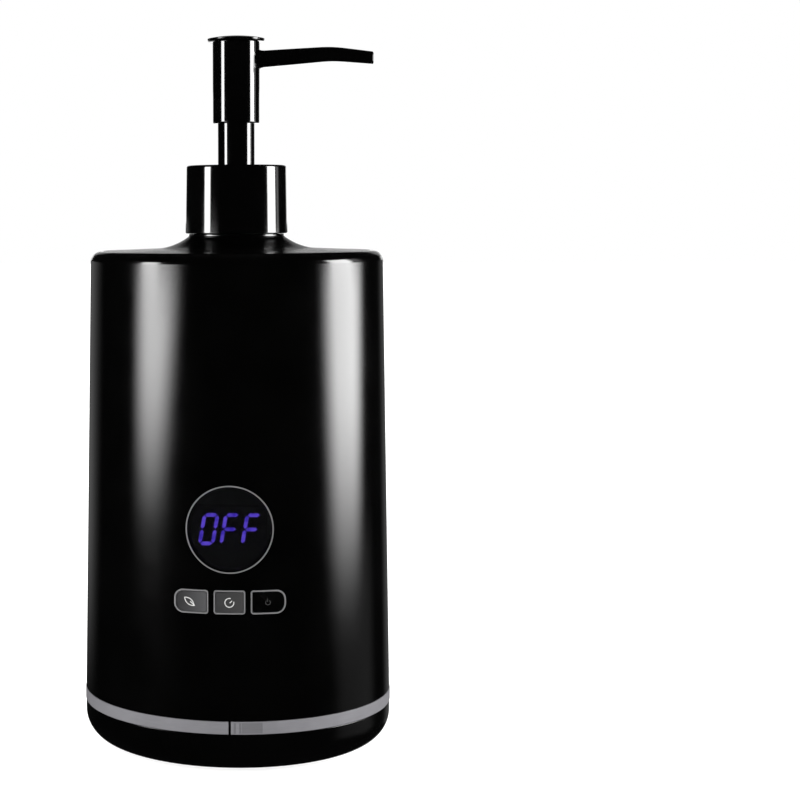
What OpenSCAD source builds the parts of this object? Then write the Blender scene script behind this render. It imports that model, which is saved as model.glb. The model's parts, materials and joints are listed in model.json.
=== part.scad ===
// Massage oil warmer: a heated housing with a display and three keys, which holds a pump bottle.
// Millimetres, +Z up, origin on the table under the centre of the base.
// The display faces -Y and the spout points along +X.

/* [Housing] */
// Outer diameter of the housing at its lower edge
body_d_low = 103.8; // [100:0.2:110]
// Outer diameter of the housing at its shoulder
body_d_high = 98.6; // [97:0.2:108]
// Height of the housing from the trim ring to its rim
shell_h = 148.3; // [140:0.1:175]
// Wall thickness of the housing
shell_wall = 2.2; // [1.8:0.1:2.6]
// Radius of the rounded shoulder edge
shoulder_r = 3.5; // [3:0.5:5]
// Width of the flat land between the shoulder edge and the lid
rim_land = 0.75; // [0.5:0.05:1.5]
// Depth of the recess in the rim that takes the lid
lid_recess = 3; // [2.6:0.1:4]
// Thickness of the ledge that carries the lid
ledge_t = 2.2; // [1.8:0.1:3]
// Radius of the inner columns that take the base screws
column_r = 3.5; // [3:0.1:4]

/* [Base and trim ring] */
// Height of the base from its underside to the trim ring
base_h = 13.2; // [12.5:0.1:16]
// Radius of the base's rounded lower edge
base_corner_r = 9.7; // [9:0.1:12.5]
// Wall and floor thickness of the base
base_wall = 2.4; // [2:0.1:3]
// Height of the base's spigot inside the housing, above the trim ring
spigot_h = 6.5; // [4:0.1:9]
// Height of the metal trim ring
ring_h = 4.2; // [3:0.1:6]
// How far the trim ring stands proud of the housing
ring_proud = 0.15; // [0.1:0.05:0.6]
// Chamfer along the trim ring's two outer edges
ring_chamfer = 0.35; // [0.1:0.05:0.5]
// Gap of the trim ring's butt joint at the front
ring_gap = 0.8; // [0.3:0.1:1]
// Diameter of a rubber foot
foot_d = 10; // [8:0.5:12]
// Thickness of a rubber foot
foot_t = 1.8; // [1.2:0.1:2.2]
// How far a foot stands out of the base
foot_proud = 0.8; // [0.5:0.1:1.1]
// Distance from the base's outer edge to the middle of a foot
foot_inset = 19.9; // [18:0.1:23]

/* [Lid] */
// Height of the lid's outer edge
lid_edge_t = 2.2; // [1.8:0.1:2.6]
// Gap between the lid and the rim around it
lid_gap = 0.35; // [0.2:0.05:0.6]
// Rise of the lid's top from its edge to the start of the flare
lid_rise = 0.7; // [0.3:0.1:1.5]
// Radius at which the flare around the neck starts
flare_start_r = 28.3; // [24:0.1:29]
// Radius of the concave flare
flare_r = 20; // [16:0.5:22]
// Outer radius of the lid's neck
lid_neck_r = 16.3; // [15.8:0.05:16.6]
// Height of the lid's neck above the rim
lid_neck_h = 4.9; // [4.8:0.1:7]
// Wall thickness of the lid's top
lid_wall = 2; // [1.6:0.1:2.4]
// Thickness of the drip seal's flange under the pump collar
drip_flange_t = 0.8; // [0.5:0.1:1.2]

/* [Heating cup] */
// Room between the insulation round the cup and the control board
board_clear = 1.84; // [1:0.02:3]
// Wall thickness of the heating cup
cup_wall = 1.2; // [0.8:0.1:1.6]
// Height of the cup's underside above the base's floor
cup_standoff = 21.1; // [20:0.1:26]
// Radial step from the cup's bore to the mouth above it
mouth_step = 4.5; // [3.5:0.1:5.5]
// Width of the cup's flange under the ledge
flange_w = 5; // [4:0.1:5.2]
// Thickness of the seal between the cup's flange and the ledge
cup_seal_t = 0.7; // [0.5:0.1:1.2]
// Thickness of the heater band
heater_t = 1; // [0.6:0.1:1.4]
// Height of the heater band
heater_h = 80; // [60:1:95]
// Thickness of the insulation sleeve
insulation_t = 5; // [3.5:0.1:5.2]
// Thickness of the silicone pad under the bottle
pad_t = 1.5; // [1:0.1:2.5]

/* [Bottle] */
// Gap between the bottle and the heating cup, all round
bottle_play = 1.5; // [1:0.1:3.5]
// Wall thickness of the bottle
bottle_wall = 1.2; // [0.8:0.1:1.6]
// Radius of the bottle's shoulder
bottle_shoulder_r = 12; // [8:0.5:13.5]
// Radius of the bottle's lower edge
bottle_foot_r = 4; // [2:0.5:6]
// Diameter of the bottle's neck under its thread
neck_d = 24.9; // [24.6:0.1:25.4]
// Diameter of the neck's bore
neck_bore_d = 21.8; // [21:0.1:22.4]
// Diameter over the neck's thread
thread_d = 27.4; // [26.8:0.1:27.4]
// Pitch of the neck's thread
thread_pitch = 4.23; // [4:0.01:4.5]
// Turns of the neck's thread
thread_turns = 1.5; // [1:0.25:2]
// Diameter of the bead that carries the lid
bead_d = 31; // [30:0.1:31.4]

/* [Pump] */
// Diameter of the pump collar at its lower edge
collar_d_low = 34.4; // [33.5:0.1:36]
// Diameter of the pump collar at its top
collar_d_high = 33.7; // [32.5:0.1:35]
// Height of the pump collar
collar_h = 22.8; // [22:0.1:26]
// Thickness of the collar's top
collar_top_t = 1.9; // [1.5:0.1:2.5]
// Bore of the collar's side wall
collar_bore_d = 28.8; // [28.6:0.1:29.4]
// Diameter of the pump stem
stem_d = 12.4; // [11.5:0.1:13]
// Wall thickness of the pump stem
stem_wall = 1.6; // [1.2:0.1:2]
// Working stroke of the pump
pump_stroke = 13; // [10:0.1:15]
// Gap left between the collar and the head at the end of the stroke
stroke_reserve = 1; // [0.4:0.1:1.5]
// Outer diameter of the pump cylinder
cylinder_d = 17.2; // [16.6:0.1:18.4]
// Bore of the pump cylinder
cylinder_bore_d = 14.8; // [14.4:0.1:15.2]
// Length of the pump cylinder below the collar
cylinder_l = 42; // [40:0.5:50]
// Outer diameter of the dip tube
dip_tube_d = 6; // [5:0.1:6.4]
// Wall thickness of the dip tube
dip_tube_wall = 0.8; // [0.6:0.1:1]
// Diameter of the return spring's wire
spring_wire_d = 0.9; // [0.7:0.1:1]
// Turns of the return spring
spring_turns = 7; // [5:1:8]

/* [Pump head] */
// Diameter of the pump head
head_d = 15.7; // [14.8:0.1:17]
// Height of the pump head up to its flange
head_h = 27.1; // [25:0.1:30]
// Diameter of the flange on the head
head_flange_d = 19.2; // [17.6:0.1:20]
// Thickness of the flange on the head
head_flange_t = 1.2; // [0.8:0.1:1.8]
// Height of the dome on the head
head_dome_h = 1; // [0.6:0.1:1.6]
// Reach of the spout from the pump's axis
spout_reach = 45.9; // [40:0.1:50]
// Height of the spout's centre line at its root, below the head's flange
spout_drop = 5.9; // [5:0.1:8]
// Distance of the spout's bend from the pump's axis
spout_bend_x = 32.2; // [26:0.1:36]
// Rise of the spout from its root to its bend
spout_rise = 1.7; // [0:0.1:2]
// Fall of the spout from its bend to its tip
spout_fall = 1.5; // [0:0.1:3]
// Height of the spout at its root
spout_root_h = 5.7; // [5:0.1:6.4]
// Height of the spout at its tip
spout_tip_h = 4.2; // [3.6:0.1:5]
// Width of the spout at its root
spout_root_w = 5.6; // [5:0.1:6.4]
// Width of the spout at its tip
spout_tip_w = 4.2; // [3.6:0.1:5]
// Diameter of the spout's channel
spout_bore_d = 2.4; // [1.8:0.1:2.6]

/* [Display and keys] */
// Height of the display's centre above the table
display_z = 79.5; // [76:0.1:90]
// Outer diameter of the display's ring
display_d = 28; // [26:0.2:30]
// Width of the display's ring
display_ring_w = 0.4; // [0.3:0.05:0.8]
// Distance of the digits below the display's centre
digit_drop = 0.5; // [0:0.1:1]
// Height of a digit
digit_h = 10.3; // [8:0.1:11]
// Width of a digit
digit_w = 5.2; // [4.4:0.1:5.6]
// Distance from one digit to the next
digit_pitch = 6.7; // [6.2:0.1:7]
// Width of a digit's segment
segment_w = 1.15; // [0.8:0.05:1.4]
// Height of the keys' centre above the table
key_z = 56.4; // [52:0.1:58]
// Height of a key's frame
key_h = 7.6; // [6.5:0.1:8.5]
// Width of the middle key's frame
key_mid_w = 10; // [9:0.1:11]
// Width of an outer key's frame
key_end_w = 11; // [10:0.1:12]
// Gap between two key frames
key_gap = 1.75; // [1.2:0.05:2.5]
// Radius of the outer keys' rounded ends
key_end_r = 3; // [2.4:0.1:3.2]
// Radius of the other key corners
key_corner_r = 0.9; // [0.8:0.05:1.2]
// Width of a key's metal frame
key_frame_w = 0.45; // [0.4:0.05:0.7]
// Travel of a key
key_travel = 0.5; // [0.3:0.05:0.6]

/* [Electronics] */
// Width of the control board
board_w = 38; // [37:0.5:40]
// Height of the control board
board_h = 54; // [52:0.5:58]
// Thickness of both circuit boards
board_t = 1.6; // [1.2:0.1:2]
// Distance from the housing's inner face to the control board
board_setback = 8.7; // [8.5:0.1:9]
// Length of the power board, across the housing
power_board_l = 44; // [42:0.5:46]
// Width of the power board
power_board_w = 28; // [26:0.5:28.5]
// Height of the power board above the base's floor
power_board_lift = 5.8; // [4:0.1:6.5]
// Diameter of the hole for the power plug
inlet_d = 8.6; // [8:0.1:9]
// Height of the power inlet above the table
inlet_z = 34; // [32:0.5:40]
// Least width of the bezel round the power inlet
bezel_w = 1.9; // [1.6:0.1:2.6]

/* [Hidden] */
$fn = 96;

// Clearances
slide_gap = 0.1;      // between pieces that slide on each other
fit_gap = 0.2;        // between pieces that fit into each other
push_gap = 0.05;      // between pieces that are pushed together
hole_play = 0.2;      // between a screw and the hole it passes through
thread_bite = 0.2;    // between a pilot hole and the middle of a screw's thread
key_slot_gap = 0.2;   // around a key inside its frame
over = 1;             // length by which a cut passes a face

// Heights of the base, the ring and the housing
base_z = foot_proud;
floor_z = base_z + base_wall;
ring_z = base_z + base_h;
shell_z = ring_z + ring_h;
rim_z = shell_z + shell_h;
shoulder_z = rim_z - shoulder_r;
ledge_z = rim_z - lid_recess;
ledge_under_z = ledge_z - ledge_t;

// Radii of the housing and what seats in it
body_r_low = body_d_low / 2;
body_r_high = body_d_high / 2;
spigot_r = body_r_low - shell_wall - fit_gap;
rim_r = body_r_high - shoulder_r - rim_land;
lid_r = rim_r - lid_gap;
foot_circle_r = body_r_low - foot_inset;

// The window and the keys in the housing's front
panel_margin = 10;
window_r = display_d / 2;
panel_low_z = key_z - key_h / 2 - panel_margin;
panel_high_z = display_z + window_r + panel_margin;
lens_r = window_r - display_ring_w - push_gap;
ring_stand = 0.12;
lens_t = 2.2;
flange_back_t = 0.8;
ring_flange_w = 1.3;
ring_seat_w = 1.4;
back_gap = 0.1;
back_z = shell_wall + back_gap;
key_stand = 0.3;
frame_stand = 0.15;
frame_lip = 0.7;
key_lip = 0.6;
key_lip_t = 0.9;
key_lip_z = back_z + flange_back_t + slide_gap;
key_post_least = 0.2;
key_least_r = 0.15;
key_centres = [-(key_mid_w + key_end_w) / 2 - key_gap, 0, (key_mid_w + key_end_w) / 2 + key_gap];
key_widths = [key_end_w, key_mid_w, key_end_w];
key_left_r = [key_end_r, key_corner_r, key_corner_r];
key_right_r = [key_corner_r, key_corner_r, key_end_r];

// The control board, its display and its switches, measured inwards from the front
board_shift = 2;
board_mid_z = (display_z + key_z) / 2 + board_shift;
module_w = 22.8;
module_h = 14.2;
module_gap = 2.6;       // from the housing's inner face to the display module
module_front_y = shell_r(display_z) - shell_wall - module_gap;
segment_t = 0.25;
segment_split = 0.2;
digit_slant = 0.17;
switch_w = 6;
switch_t = 3.5;
switch_stem_r = 1.7;
switch_stem_l = 1;
switch_sink = 1.2;
post_r = 1.3;
hole_inset = 3;
board_hole_x = board_w / 2 - hole_inset;
board_hole_z = board_h / 2 - hole_inset;
boss_r = 2.6;
board_screw_r = 1.1;
board_screw_head_r = 2.1;
board_screw_head_t = 1.4;
board_screw_l = 4;
key_inner_r = shell_r(key_z) - key_lip_z - key_lip_t;
switch_room = switch_t + switch_stem_l + key_post_least;
board_y = min(
    shell_r(display_z) - shell_wall - board_setback,
    chord(key_inner_r, key_centres[2] + switch_stem_r) - switch_room
);

// The cup, as wide as the control board in front of it and the columns beside it allow
column_gap = 0.5;
wrap_t = cup_wall + heater_t + insulation_t + 2 * push_gap;
column_room = 2 * (column_r + column_gap) + flange_w + mouth_step;
cup_r = min(
    board_y - board_t - board_clear - wrap_t,
    spigot_r - base_wall - column_room,
    body_r_high - shell_wall - column_room
);

// What is wrapped round the cup
cup_out_r = cup_r + cup_wall;
cup_z = floor_z + cup_standoff;
cup_top_z = ledge_under_z - cup_seal_t;
mouth_r = cup_r + mouth_step;
flange_r = mouth_r + flange_w;
seal_inset = 0.5;
pad_inset = 0.8;
heater_r = cup_out_r + push_gap;
heater_lift = 5;
heater_tail = 6;
heater_z = cup_z + heater_lift;
insulation_r = heater_r + heater_t + push_gap;
insulation_end_gap = 6;
insulation_z = heater_z + heater_tail;
insulation_top_z = cup_top_z - cup_wall - insulation_end_gap;

// The columns in the housing, and the base screws in them
column_circle_r = flange_r + column_r + column_gap;
base_post_h = 9;
column_z = floor_z + base_post_h;
screw_angles = [45 : 90 : 315];
screw_r = 1.5;
screw_head_r = 2.8;
screw_head_t = 2;
screw_sink = 2.6;
screw_pilot_l = 9;
screw_head_z = base_z + screw_sink;
base_post_wall = 0.8;
base_post_r = screw_head_r + hole_play + base_post_wall;

// The switch and the sensor that read the cup's heat
cutout_cap_r = 8;
cutout_cap_h = 3;
cutout_body_r = 7;
cutout_body_h = 5;
cutout_tab = [0.8, 3.2, 3];
cutout_tab_x = 4;
sensor_r = 1.8;
sensor_h = 3;

// The cradle under the cup
cradle_t = 3;
cradle_hole_r = 15;
cradle_rim_t = 1.6;
cradle_rim_h = 4;
cradle_leg_r = 3.5;
cradle_leg_gap = 0.9;
cradle_leg_circle_r = (power_board_w / 2 + cradle_leg_gap + cradle_leg_r) * sqrt(2);
cradle_edge = 1.9;
cradle_rim_r = cup_out_r + fit_gap;
cradle_plate_r = max(cradle_rim_r + cradle_rim_t, cradle_leg_circle_r + cradle_leg_r + cradle_edge);
cradle_peg_r = 1.4;
cradle_peg_h = 3;

// The lid
lid_under_z = rim_z - lid_edge_t;
lid_top_z = rim_z + lid_rise;
lid_neck_z = rim_z + lid_neck_h;
lid_edge_round = 0.6;
lid_gasket_inset = 1.5;
drip_gap = 0.15;
drip_bore_r = thread_d / 2 + drip_gap;
drip_sleeve_t = 0.45;
drip_sleeve_l = 4;
drip_inset = 0.25;
drip_flange_r = lid_neck_r - drip_inset;
drip_z = lid_neck_z + drip_flange_t;
lid_bore_r = drip_bore_r + drip_sleeve_t + push_gap;
skirt_gap = 0.4;
skirt_r = mouth_r - skirt_gap;
skirt_t = 1.8;
skirt_end_gap = 0.3;
skirt_h = lid_under_z - ledge_under_z - skirt_end_gap;

// The collar and the bottle's neck inside it
collar_z = drip_z + slide_gap;
collar_top_z = collar_z + collar_h;
collar_bore_r = collar_bore_d / 2;
collar_edge = 0.8;
collar_edge_share = 0.3;
stem_hole_gap = 0.35;
pump_flange_t = 1.2;
gasket_t = 1;
pump_flange_z = collar_top_z - collar_top_t - fit_gap - pump_flange_t;
neck_top_z = pump_flange_z - gasket_t;
neck_r = neck_d / 2;
neck_bore_r = neck_bore_d / 2;
bottle_r = cup_r - bottle_play;
bottle_z = cup_z + cup_wall + pad_t;
bead_t = 1.5;
lid_tube_lift = 1.2;
lid_tube_z = lid_under_z + lid_tube_lift;
bead_z = lid_tube_z - fit_gap - bead_t;
bead_lift = 1.5;
bottle_shoulder_z = bead_z - bead_lift;

// The neck's thread and the collar's, half a pitch apart
thread_start = 2.5;
thread_z = neck_top_z - thread_start - thread_turns * thread_pitch;
thread_steps = 24;
thread_fade_steps = 3;
thread_fade_min = 0.2;
neck_thread_base_w = 2;
neck_thread_crest_w = 1;
collar_thread_base_w = 1.8;
collar_thread_crest_w = 0.8;
collar_thread_gap = 0.55;
collar_thread_r = neck_r + collar_thread_gap;
collar_thread_turns = 1.25;
thread_root = 0.3;

// The pump
stem_r = stem_d / 2;
cylinder_r = cylinder_d / 2;
cylinder_bore_r = cylinder_bore_d / 2;
cylinder_top_z = pump_flange_z + pump_flange_t;
cylinder_floor_t = 2.4;
cylinder_floor_z = pump_flange_z - cylinder_l;
guide_h = 5;
stem_sunk_l = 14.2;
stem_z = cylinder_top_z - stem_sunk_l;
piston_h = 7;
piston_z = stem_z - piston_h;
piston_neck_h = 4;
piston_hole_r = 2;
spring_inset = 2;
spring_r = cylinder_bore_r - spring_inset;
spring_rings = 10;
spring_sides = 6;
ball_seat_w = 0.2;
tube_socket_h = 8;
tube_socket_wall = 1;
dip_tube_r = dip_tube_d / 2;
ball_r = dip_tube_r - dip_tube_wall + ball_seat_w;
dip_tube_lift = 2;
dip_tube_z = bottle_z + bottle_wall + dip_tube_lift;
dip_tube_top_z = cylinder_floor_z - cylinder_floor_t;

// The pump head
head_r = head_d / 2;
head_z = collar_top_z + pump_stroke + stroke_reserve;
head_top_z = head_z + head_h;
head_socket_l = 14;
head_edge_r = 0.6;
head_bevel_share = 0.6;
spout_z = head_top_z - spout_drop;
spout_root_sink = 2;
spout_root_x = head_r - spout_root_sink;
spout_ease = 4;
spout_taper = 1.4;
spout_roundness = 0.6;
spout_sides = 24;
spout_steps = 18;
spout_bore_r = spout_bore_d / 2;
spout_bore_sides = 12;

// The power board and the inlet
power_z = floor_z + power_board_lift;
standoff_r = 2.4;
standoff_x = power_board_l / 2 - hole_inset;
standoff_y = power_board_w / 2 - hole_inset;
inlet_r = inlet_d / 2;
bezel_out_w = inlet_d + 2 * bezel_w;
bezel_corner_r = 2.5;
bezel_flange_w = 15;
bezel_flange_t = 1.2;
bezel_stand = 0.15;
bezel_face_y = shell_r(inlet_z) + bezel_stand;
bezel_wall_r = shell_r(inlet_z + bezel_flange_w / 2) - shell_wall;
bezel_seat_y = chord(bezel_wall_r, bezel_flange_w / 2) - push_gap;
inlet_pad_y = bezel_seat_y - bezel_flange_t;
socket_w = 9;
socket_h = 11;
socket_l = 9.6;
socket_hole_r = 2.9;
socket_pin_r = 1;
socket_pin_sink = 0.6;
socket_end_t = 1.5;
rib_t = 1.4;
rib_l = 6.7;
capacitor_x = 13;
capacitor_r = 4;
capacitor_h = 9;
relay_x = 9.5;
relay_size = [7, 10, 8];

// The leads inside the base
wire_r = 0.8;
wire_sides = 8;
wire_across = [0.31, 0.47, 0.83];
lead_pitch = 3;
lead_clear = 3;
lead_land = 2.6;
lead_sweep = 6;
lead_rise = 4;
lead_foot = 1;
lead_low_z = cup_z - cradle_t - lead_clear;

// Outer radius of the housing at a height
function shell_r(z) = body_r_low + (body_r_high - body_r_low) * (z - shell_z) / (shoulder_z - shell_z);

// Distance inwards from a circle of radius r to the chord at x
function chord(r, x) = sqrt(r * r - x * x);

function unit(v) = v / norm(v);
function tangent(path, i) = unit(path[min(i + 1, len(path) - 1)] - path[max(i - 1, 0)]);

// Ring of points round a path point, counter-clockwise about the path's direction
function wire_ring(path, i, r, sides) =
    let (t = tangent(path, i), u = unit(cross(wire_across, t)), v = cross(t, u))
    [for (k = [0 : sides - 1]) path[i] + r * (cos(360 * k / sides) * u + sin(360 * k / sides) * v)];

// Closed solid through a list of rings, each counter-clockwise about the direction of travel
module loft(rings) {
    n = len(rings[0]);
    last = (len(rings) - 1) * n;
    sides = [
        for (i = [0 : len(rings) - 2], k = [0 : n - 1])
            let (a = i * n + k, b = i * n + (k + 1) % n)
            each [[a, a + n, b + n], [a, b + n, b]]
    ];
    start = [for (k = [1 : n - 2]) [0, k, k + 1]];
    end = [for (k = [1 : n - 2]) [last, last + k + 1, last + k]];
    polyhedron([for (r = rings) each r], concat(start, sides, end));
}

// Round wire along a list of points
module wire(path, r = wire_r, sides = wire_sides) {
    loft([for (i = [0 : len(path) - 1]) wire_ring(path, i, r, sides)]);
}

// Helical ridge from a root radius to a crest radius
module thread_ridge(root_r, crest_r, base_w, crest_w, z, turns) {
    steps = ceil(turns * thread_steps);
    loft([
        for (i = [0 : steps])
            let (
                a = 360 * turns * i / steps,
                h = z + thread_pitch * a / 360,
                fade = min(1, i / thread_fade_steps, (steps - i) / thread_fade_steps),
                c = root_r + (crest_r - root_r) * max(fade, thread_fade_min)
            )
            [for (p = [[root_r, base_w / 2], [c, crest_w / 2], [c, -crest_w / 2], [root_r, -base_w / 2]])
                let (flip = crest_r > root_r ? 1 : -1)
                [p[0] * cos(a), p[0] * sin(a), h + flip * p[1]]]
    ]);
}

// Solid turned about Z from a profile in radius and height
module turned() {
    rotate_extrude() children();
}

// Ring of rectangular section
module tube(r_in, r_out, z, h) {
    difference() {
        translate([0, 0, z]) cylinder(r = r_out, h = h);
        translate([0, 0, z - over]) cylinder(r = r_in, h = h + 2 * over);
    }
}

// Outline seen from the front, pulled out along -Y between two distances from the axis
module from_front(near, far) {
    translate([0, -near, 0]) rotate([90, 0, 0]) linear_extrude(far - near) children();
}

// Outline seen from the back, pulled out along +Y between two distances from the axis
module from_back(near, far) {
    translate([0, far, 0]) rotate([90, 0, 0]) linear_extrude(far - near) children();
}

// Layer of the housing's front between two offsets from its outer face
module skin(outer, inner) {
    h = panel_high_z - panel_low_z;
    difference() {
        translate([0, 0, panel_low_z])
            cylinder(r1 = shell_r(panel_low_z) + outer, r2 = shell_r(panel_high_z) + outer, h = h);
        translate([0, 0, panel_low_z - over])
            cylinder(
                r1 = shell_r(panel_low_z - over) + inner, r2 = shell_r(panel_high_z + over) + inner,
                h = h + 2 * over
            );
    }
}

// Part of an outline on the housing's front that lies between two offsets from its outer face
module on_front(outer, inner) {
    intersection() {
        from_front(body_r_low / 2, body_r_low + over) children();
        skin(outer, inner);
    }
}

// Rectangle about the origin with one radius on its left corners and one on its right
module soft_rectangle(w, h, r_left, r_right) {
    translate([r_left - w / 2, -h / 2]) square([w - r_left - r_right, h]);
    for (side = [[-1, r_left], [1, r_right]]) {
        r = side[1];
        x = side[0] * (w / 2 - r);
        translate([x, 0]) translate([side[0] < 0 ? -r : 0, r - h / 2]) square([r, h - 2 * r]);
        for (s = [-1, 1]) translate([x, s * (h / 2 - r)]) circle(r = r);
    }
}

// Outline of key i, grown or drawn in by an amount
module key_outline(i, grow) {
    translate([key_centres[i], key_z])
        soft_rectangle(
            key_widths[i] + 2 * grow, key_h + 2 * grow,
            max(key_left_r[i] + grow, key_least_r), max(key_right_r[i] + grow, key_least_r)
        );
}

module window_outline(r) {
    translate([0, display_z]) circle(r = r);
}

// Places children at the housing's columns
module at_columns() {
    for (a = screw_angles) rotate(a) translate([column_circle_r, 0, 0]) children();
}

module at_feet() {
    for (a = [0 : 90 : 270]) rotate(a) translate([foot_circle_r, 0, 0]) children();
}

module at_cradle_legs() {
    for (a = screw_angles) rotate(a) translate([cradle_leg_circle_r, 0, 0]) children();
}

// Places children at the control board's four holes, with +Z pointing out of the front
module at_board_holes() {
    for (x = [-board_hole_x, board_hole_x], z = [-board_hole_z, board_hole_z])
        translate([x, -board_y, board_mid_z + z]) rotate([90, 0, 0]) children();
}

module at_standoffs() {
    for (x = [-standoff_x, standoff_x], y = [-standoff_y, standoff_y]) translate([x, y, 0]) children();
}

// Housing

module shell_profile() {
    difference() {
        union() {
            polygon([
                [mouth_r, ledge_under_z], [shell_r(ledge_under_z) - shell_wall, ledge_under_z],
                [body_r_low - shell_wall, shell_z], [body_r_low, shell_z],
                [body_r_high, shoulder_z], [body_r_high - shoulder_r, shoulder_z],
                [body_r_high - shoulder_r, rim_z], [mouth_r, rim_z]
            ]);
            translate([body_r_high - shoulder_r, shoulder_z]) intersection() {
                circle(r = shoulder_r);
                square(shoulder_r);
            }
        }
        translate([0, ledge_z]) square([rim_r, lid_recess + over]);
    }
}

// Outline of the power inlet's bezel, grown by an amount
module bezel_outline(grow) {
    w = bezel_out_w + 2 * grow;
    r = bezel_corner_r + grow;
    translate([0, inlet_z]) soft_rectangle(w, w, r, r);
}

module housing_shell() {
    boss_l = chord(shell_r(key_z) - shell_wall, board_hole_x) - board_y + shell_wall / 2;
    color([0.03, 0.03, 0.03]) difference() {
        union() {
            turned() shell_profile();
            at_board_holes() cylinder(r = boss_r, h = boss_l);
        }
        at_board_holes() translate([0, 0, -over])
            cylinder(r = board_screw_r - thread_bite, h = board_screw_l + over);
        from_front(board_y + boss_r, body_r_low + over) window_outline(window_r);
        for (i = [0 : 2]) from_front(body_r_low / 2 + boss_r, body_r_low + over) key_outline(i, push_gap);
        from_back(inlet_pad_y - over, body_r_low + over) bezel_outline(push_gap);
    }
}

// Columns that hang from the housing's ledge and take the base's screws
module housing_columns() {
    color([0.05, 0.05, 0.05]) at_columns() translate([0, 0, column_z]) difference() {
        cylinder(r = column_r, h = ledge_under_z - column_z);
        translate([0, 0, -over]) cylinder(r = screw_r - thread_bite, h = screw_pilot_l + over);
    }
}

module trim_ring() {
    outer = body_r_low + ring_proud;
    color([0.75, 0.75, 0.78]) difference() {
        turned() polygon([
            [spigot_r + fit_gap, ring_z], [outer - ring_chamfer, ring_z], [outer, ring_z + ring_chamfer],
            [outer, shell_z - ring_chamfer], [outer - ring_chamfer, shell_z], [spigot_r + fit_gap, shell_z]
        ]);
        translate([-ring_gap / 2, -outer - over, ring_z - over])
            cube([ring_gap, outer - spigot_r + 2 * over, ring_h + 2 * over]);
    }
}

// Base

// Half section of the base with its edge drawn in by an amount
module base_section(inset) {
    corner = base_corner_r - inset;
    r = body_r_low - inset;
    z = base_z + inset;
    top = ring_z + (inset > 0 ? over : 0);
    translate([0, z]) square([r - corner, top - z]);
    translate([r - corner, z + corner]) intersection() {
        circle(r = corner);
        translate([0, -corner]) square(corner);
    }
    if (top > z + corner + 0.01) translate([0, z + corner]) square([r, top - z - corner]);
}

module base_tub() {
    color([0.03, 0.03, 0.03]) difference() {
        union() {
            difference() {
                turned() base_section(0);
                turned() base_section(base_wall);
            }
            intersection() {
                at_columns() cylinder(r = base_post_r, h = column_z);
                turned() base_section(0);
            }
            tube(spigot_r - base_wall, spigot_r, ring_z - base_wall, ring_h + spigot_h + base_wall);
            at_standoffs() translate([0, 0, floor_z - over])
                cylinder(r = standoff_r, h = power_board_lift + over);
            at_cradle_legs() translate([0, 0, floor_z - over])
                cylinder(r = cradle_peg_r, h = cradle_peg_h + over);
        }
        at_columns() translate([0, 0, -over]) {
            cylinder(r = screw_r + hole_play, h = column_z + 2 * over);
            cylinder(r = screw_head_r + hole_play, h = screw_head_z + screw_head_t + over);
        }
        at_standoffs() translate([0, 0, floor_z])
            cylinder(r = board_screw_r - thread_bite, h = power_board_lift + over);
        at_feet() translate([0, 0, base_z - over])
            cylinder(r = foot_d / 2 + push_gap, h = foot_t - foot_proud + over);
    }
}

module base_feet() {
    color([0.08, 0.08, 0.08]) at_feet() cylinder(r = foot_d / 2, h = foot_t);
}

module base_screws() {
    shank_l = column_z + screw_pilot_l - over - screw_head_z;
    color([0.6, 0.6, 0.62]) at_columns() translate([0, 0, screw_head_z]) difference() {
        union() {
            cylinder(r = screw_head_r, h = screw_head_t);
            cylinder(r = screw_r - thread_bite - push_gap, h = shank_l);
        }
        translate([0, 0, -over]) cylinder(r = screw_r - thread_bite, h = screw_head_t / 2 + over, $fn = 6);
    }
}

// Display

module display_lens() {
    color([0.06, 0.06, 0.07, 0.6]) on_front(-push_gap, -lens_t) window_outline(lens_r);
}

module display_ring() {
    color([0.8, 0.8, 0.8]) difference() {
        union() {
            on_front(ring_stand, -back_z - flange_back_t) window_outline(window_r - push_gap);
            on_front(-back_z, -back_z - flange_back_t) window_outline(window_r + ring_flange_w);
        }
        on_front(over, -lens_t - push_gap) window_outline(window_r - display_ring_w);
        from_front(board_y, body_r_low) window_outline(window_r - ring_seat_w);
    }
}

// Points of a bar from a to b with pointed ends
function bar(a, b) =
    let (
        along = unit(b - a) * segment_w / 2,
        across = [-along[1], along[0]],
        p = a + unit(b - a) * segment_split,
        q = b - unit(b - a) * segment_split
    )
    [p, p + along + across, q - along + across, q, q - along - across, p + along - across];

// Corners of a digit: top, middle and bottom on its left and right
function digit_corner(x, y) = [x * (digit_w - segment_w) / 2, y * (digit_h - segment_w) / 2];
function segment_ends(s) =
    s == "a" ? [digit_corner(-1, 1), digit_corner(1, 1)] :
    s == "b" ? [digit_corner(1, 0), digit_corner(1, 1)] :
    s == "c" ? [digit_corner(1, -1), digit_corner(1, 0)] :
    s == "d" ? [digit_corner(-1, -1), digit_corner(1, -1)] :
    s == "e" ? [digit_corner(-1, -1), digit_corner(-1, 0)] :
    s == "f" ? [digit_corner(-1, 0), digit_corner(-1, 1)] :
    [digit_corner(-1, 0), digit_corner(1, 0)];

// Lit segments of the three digits in the off state
lit_segments = ["abcdef", "aefg", "aefg"];

module display_digits() {
    color([0.3, 0.22, 0.9]) for (d = [0 : 2], s = lit_segments[d]) {
        ends = segment_ends(s);
        outline = [for (p = bar(ends[0], ends[1])) [p[0] + digit_slant * p[1], p[1]]];
        from_front(module_front_y, module_front_y + segment_t)
            translate([(d - 1) * digit_pitch, display_z - digit_drop]) polygon(outline);
    }
}

module led_module() {
    color([0.05, 0.05, 0.05]) from_front(board_y, module_front_y)
        translate([-module_w / 2, display_z - digit_drop - module_h / 2]) square([module_w, module_h]);
}

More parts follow.
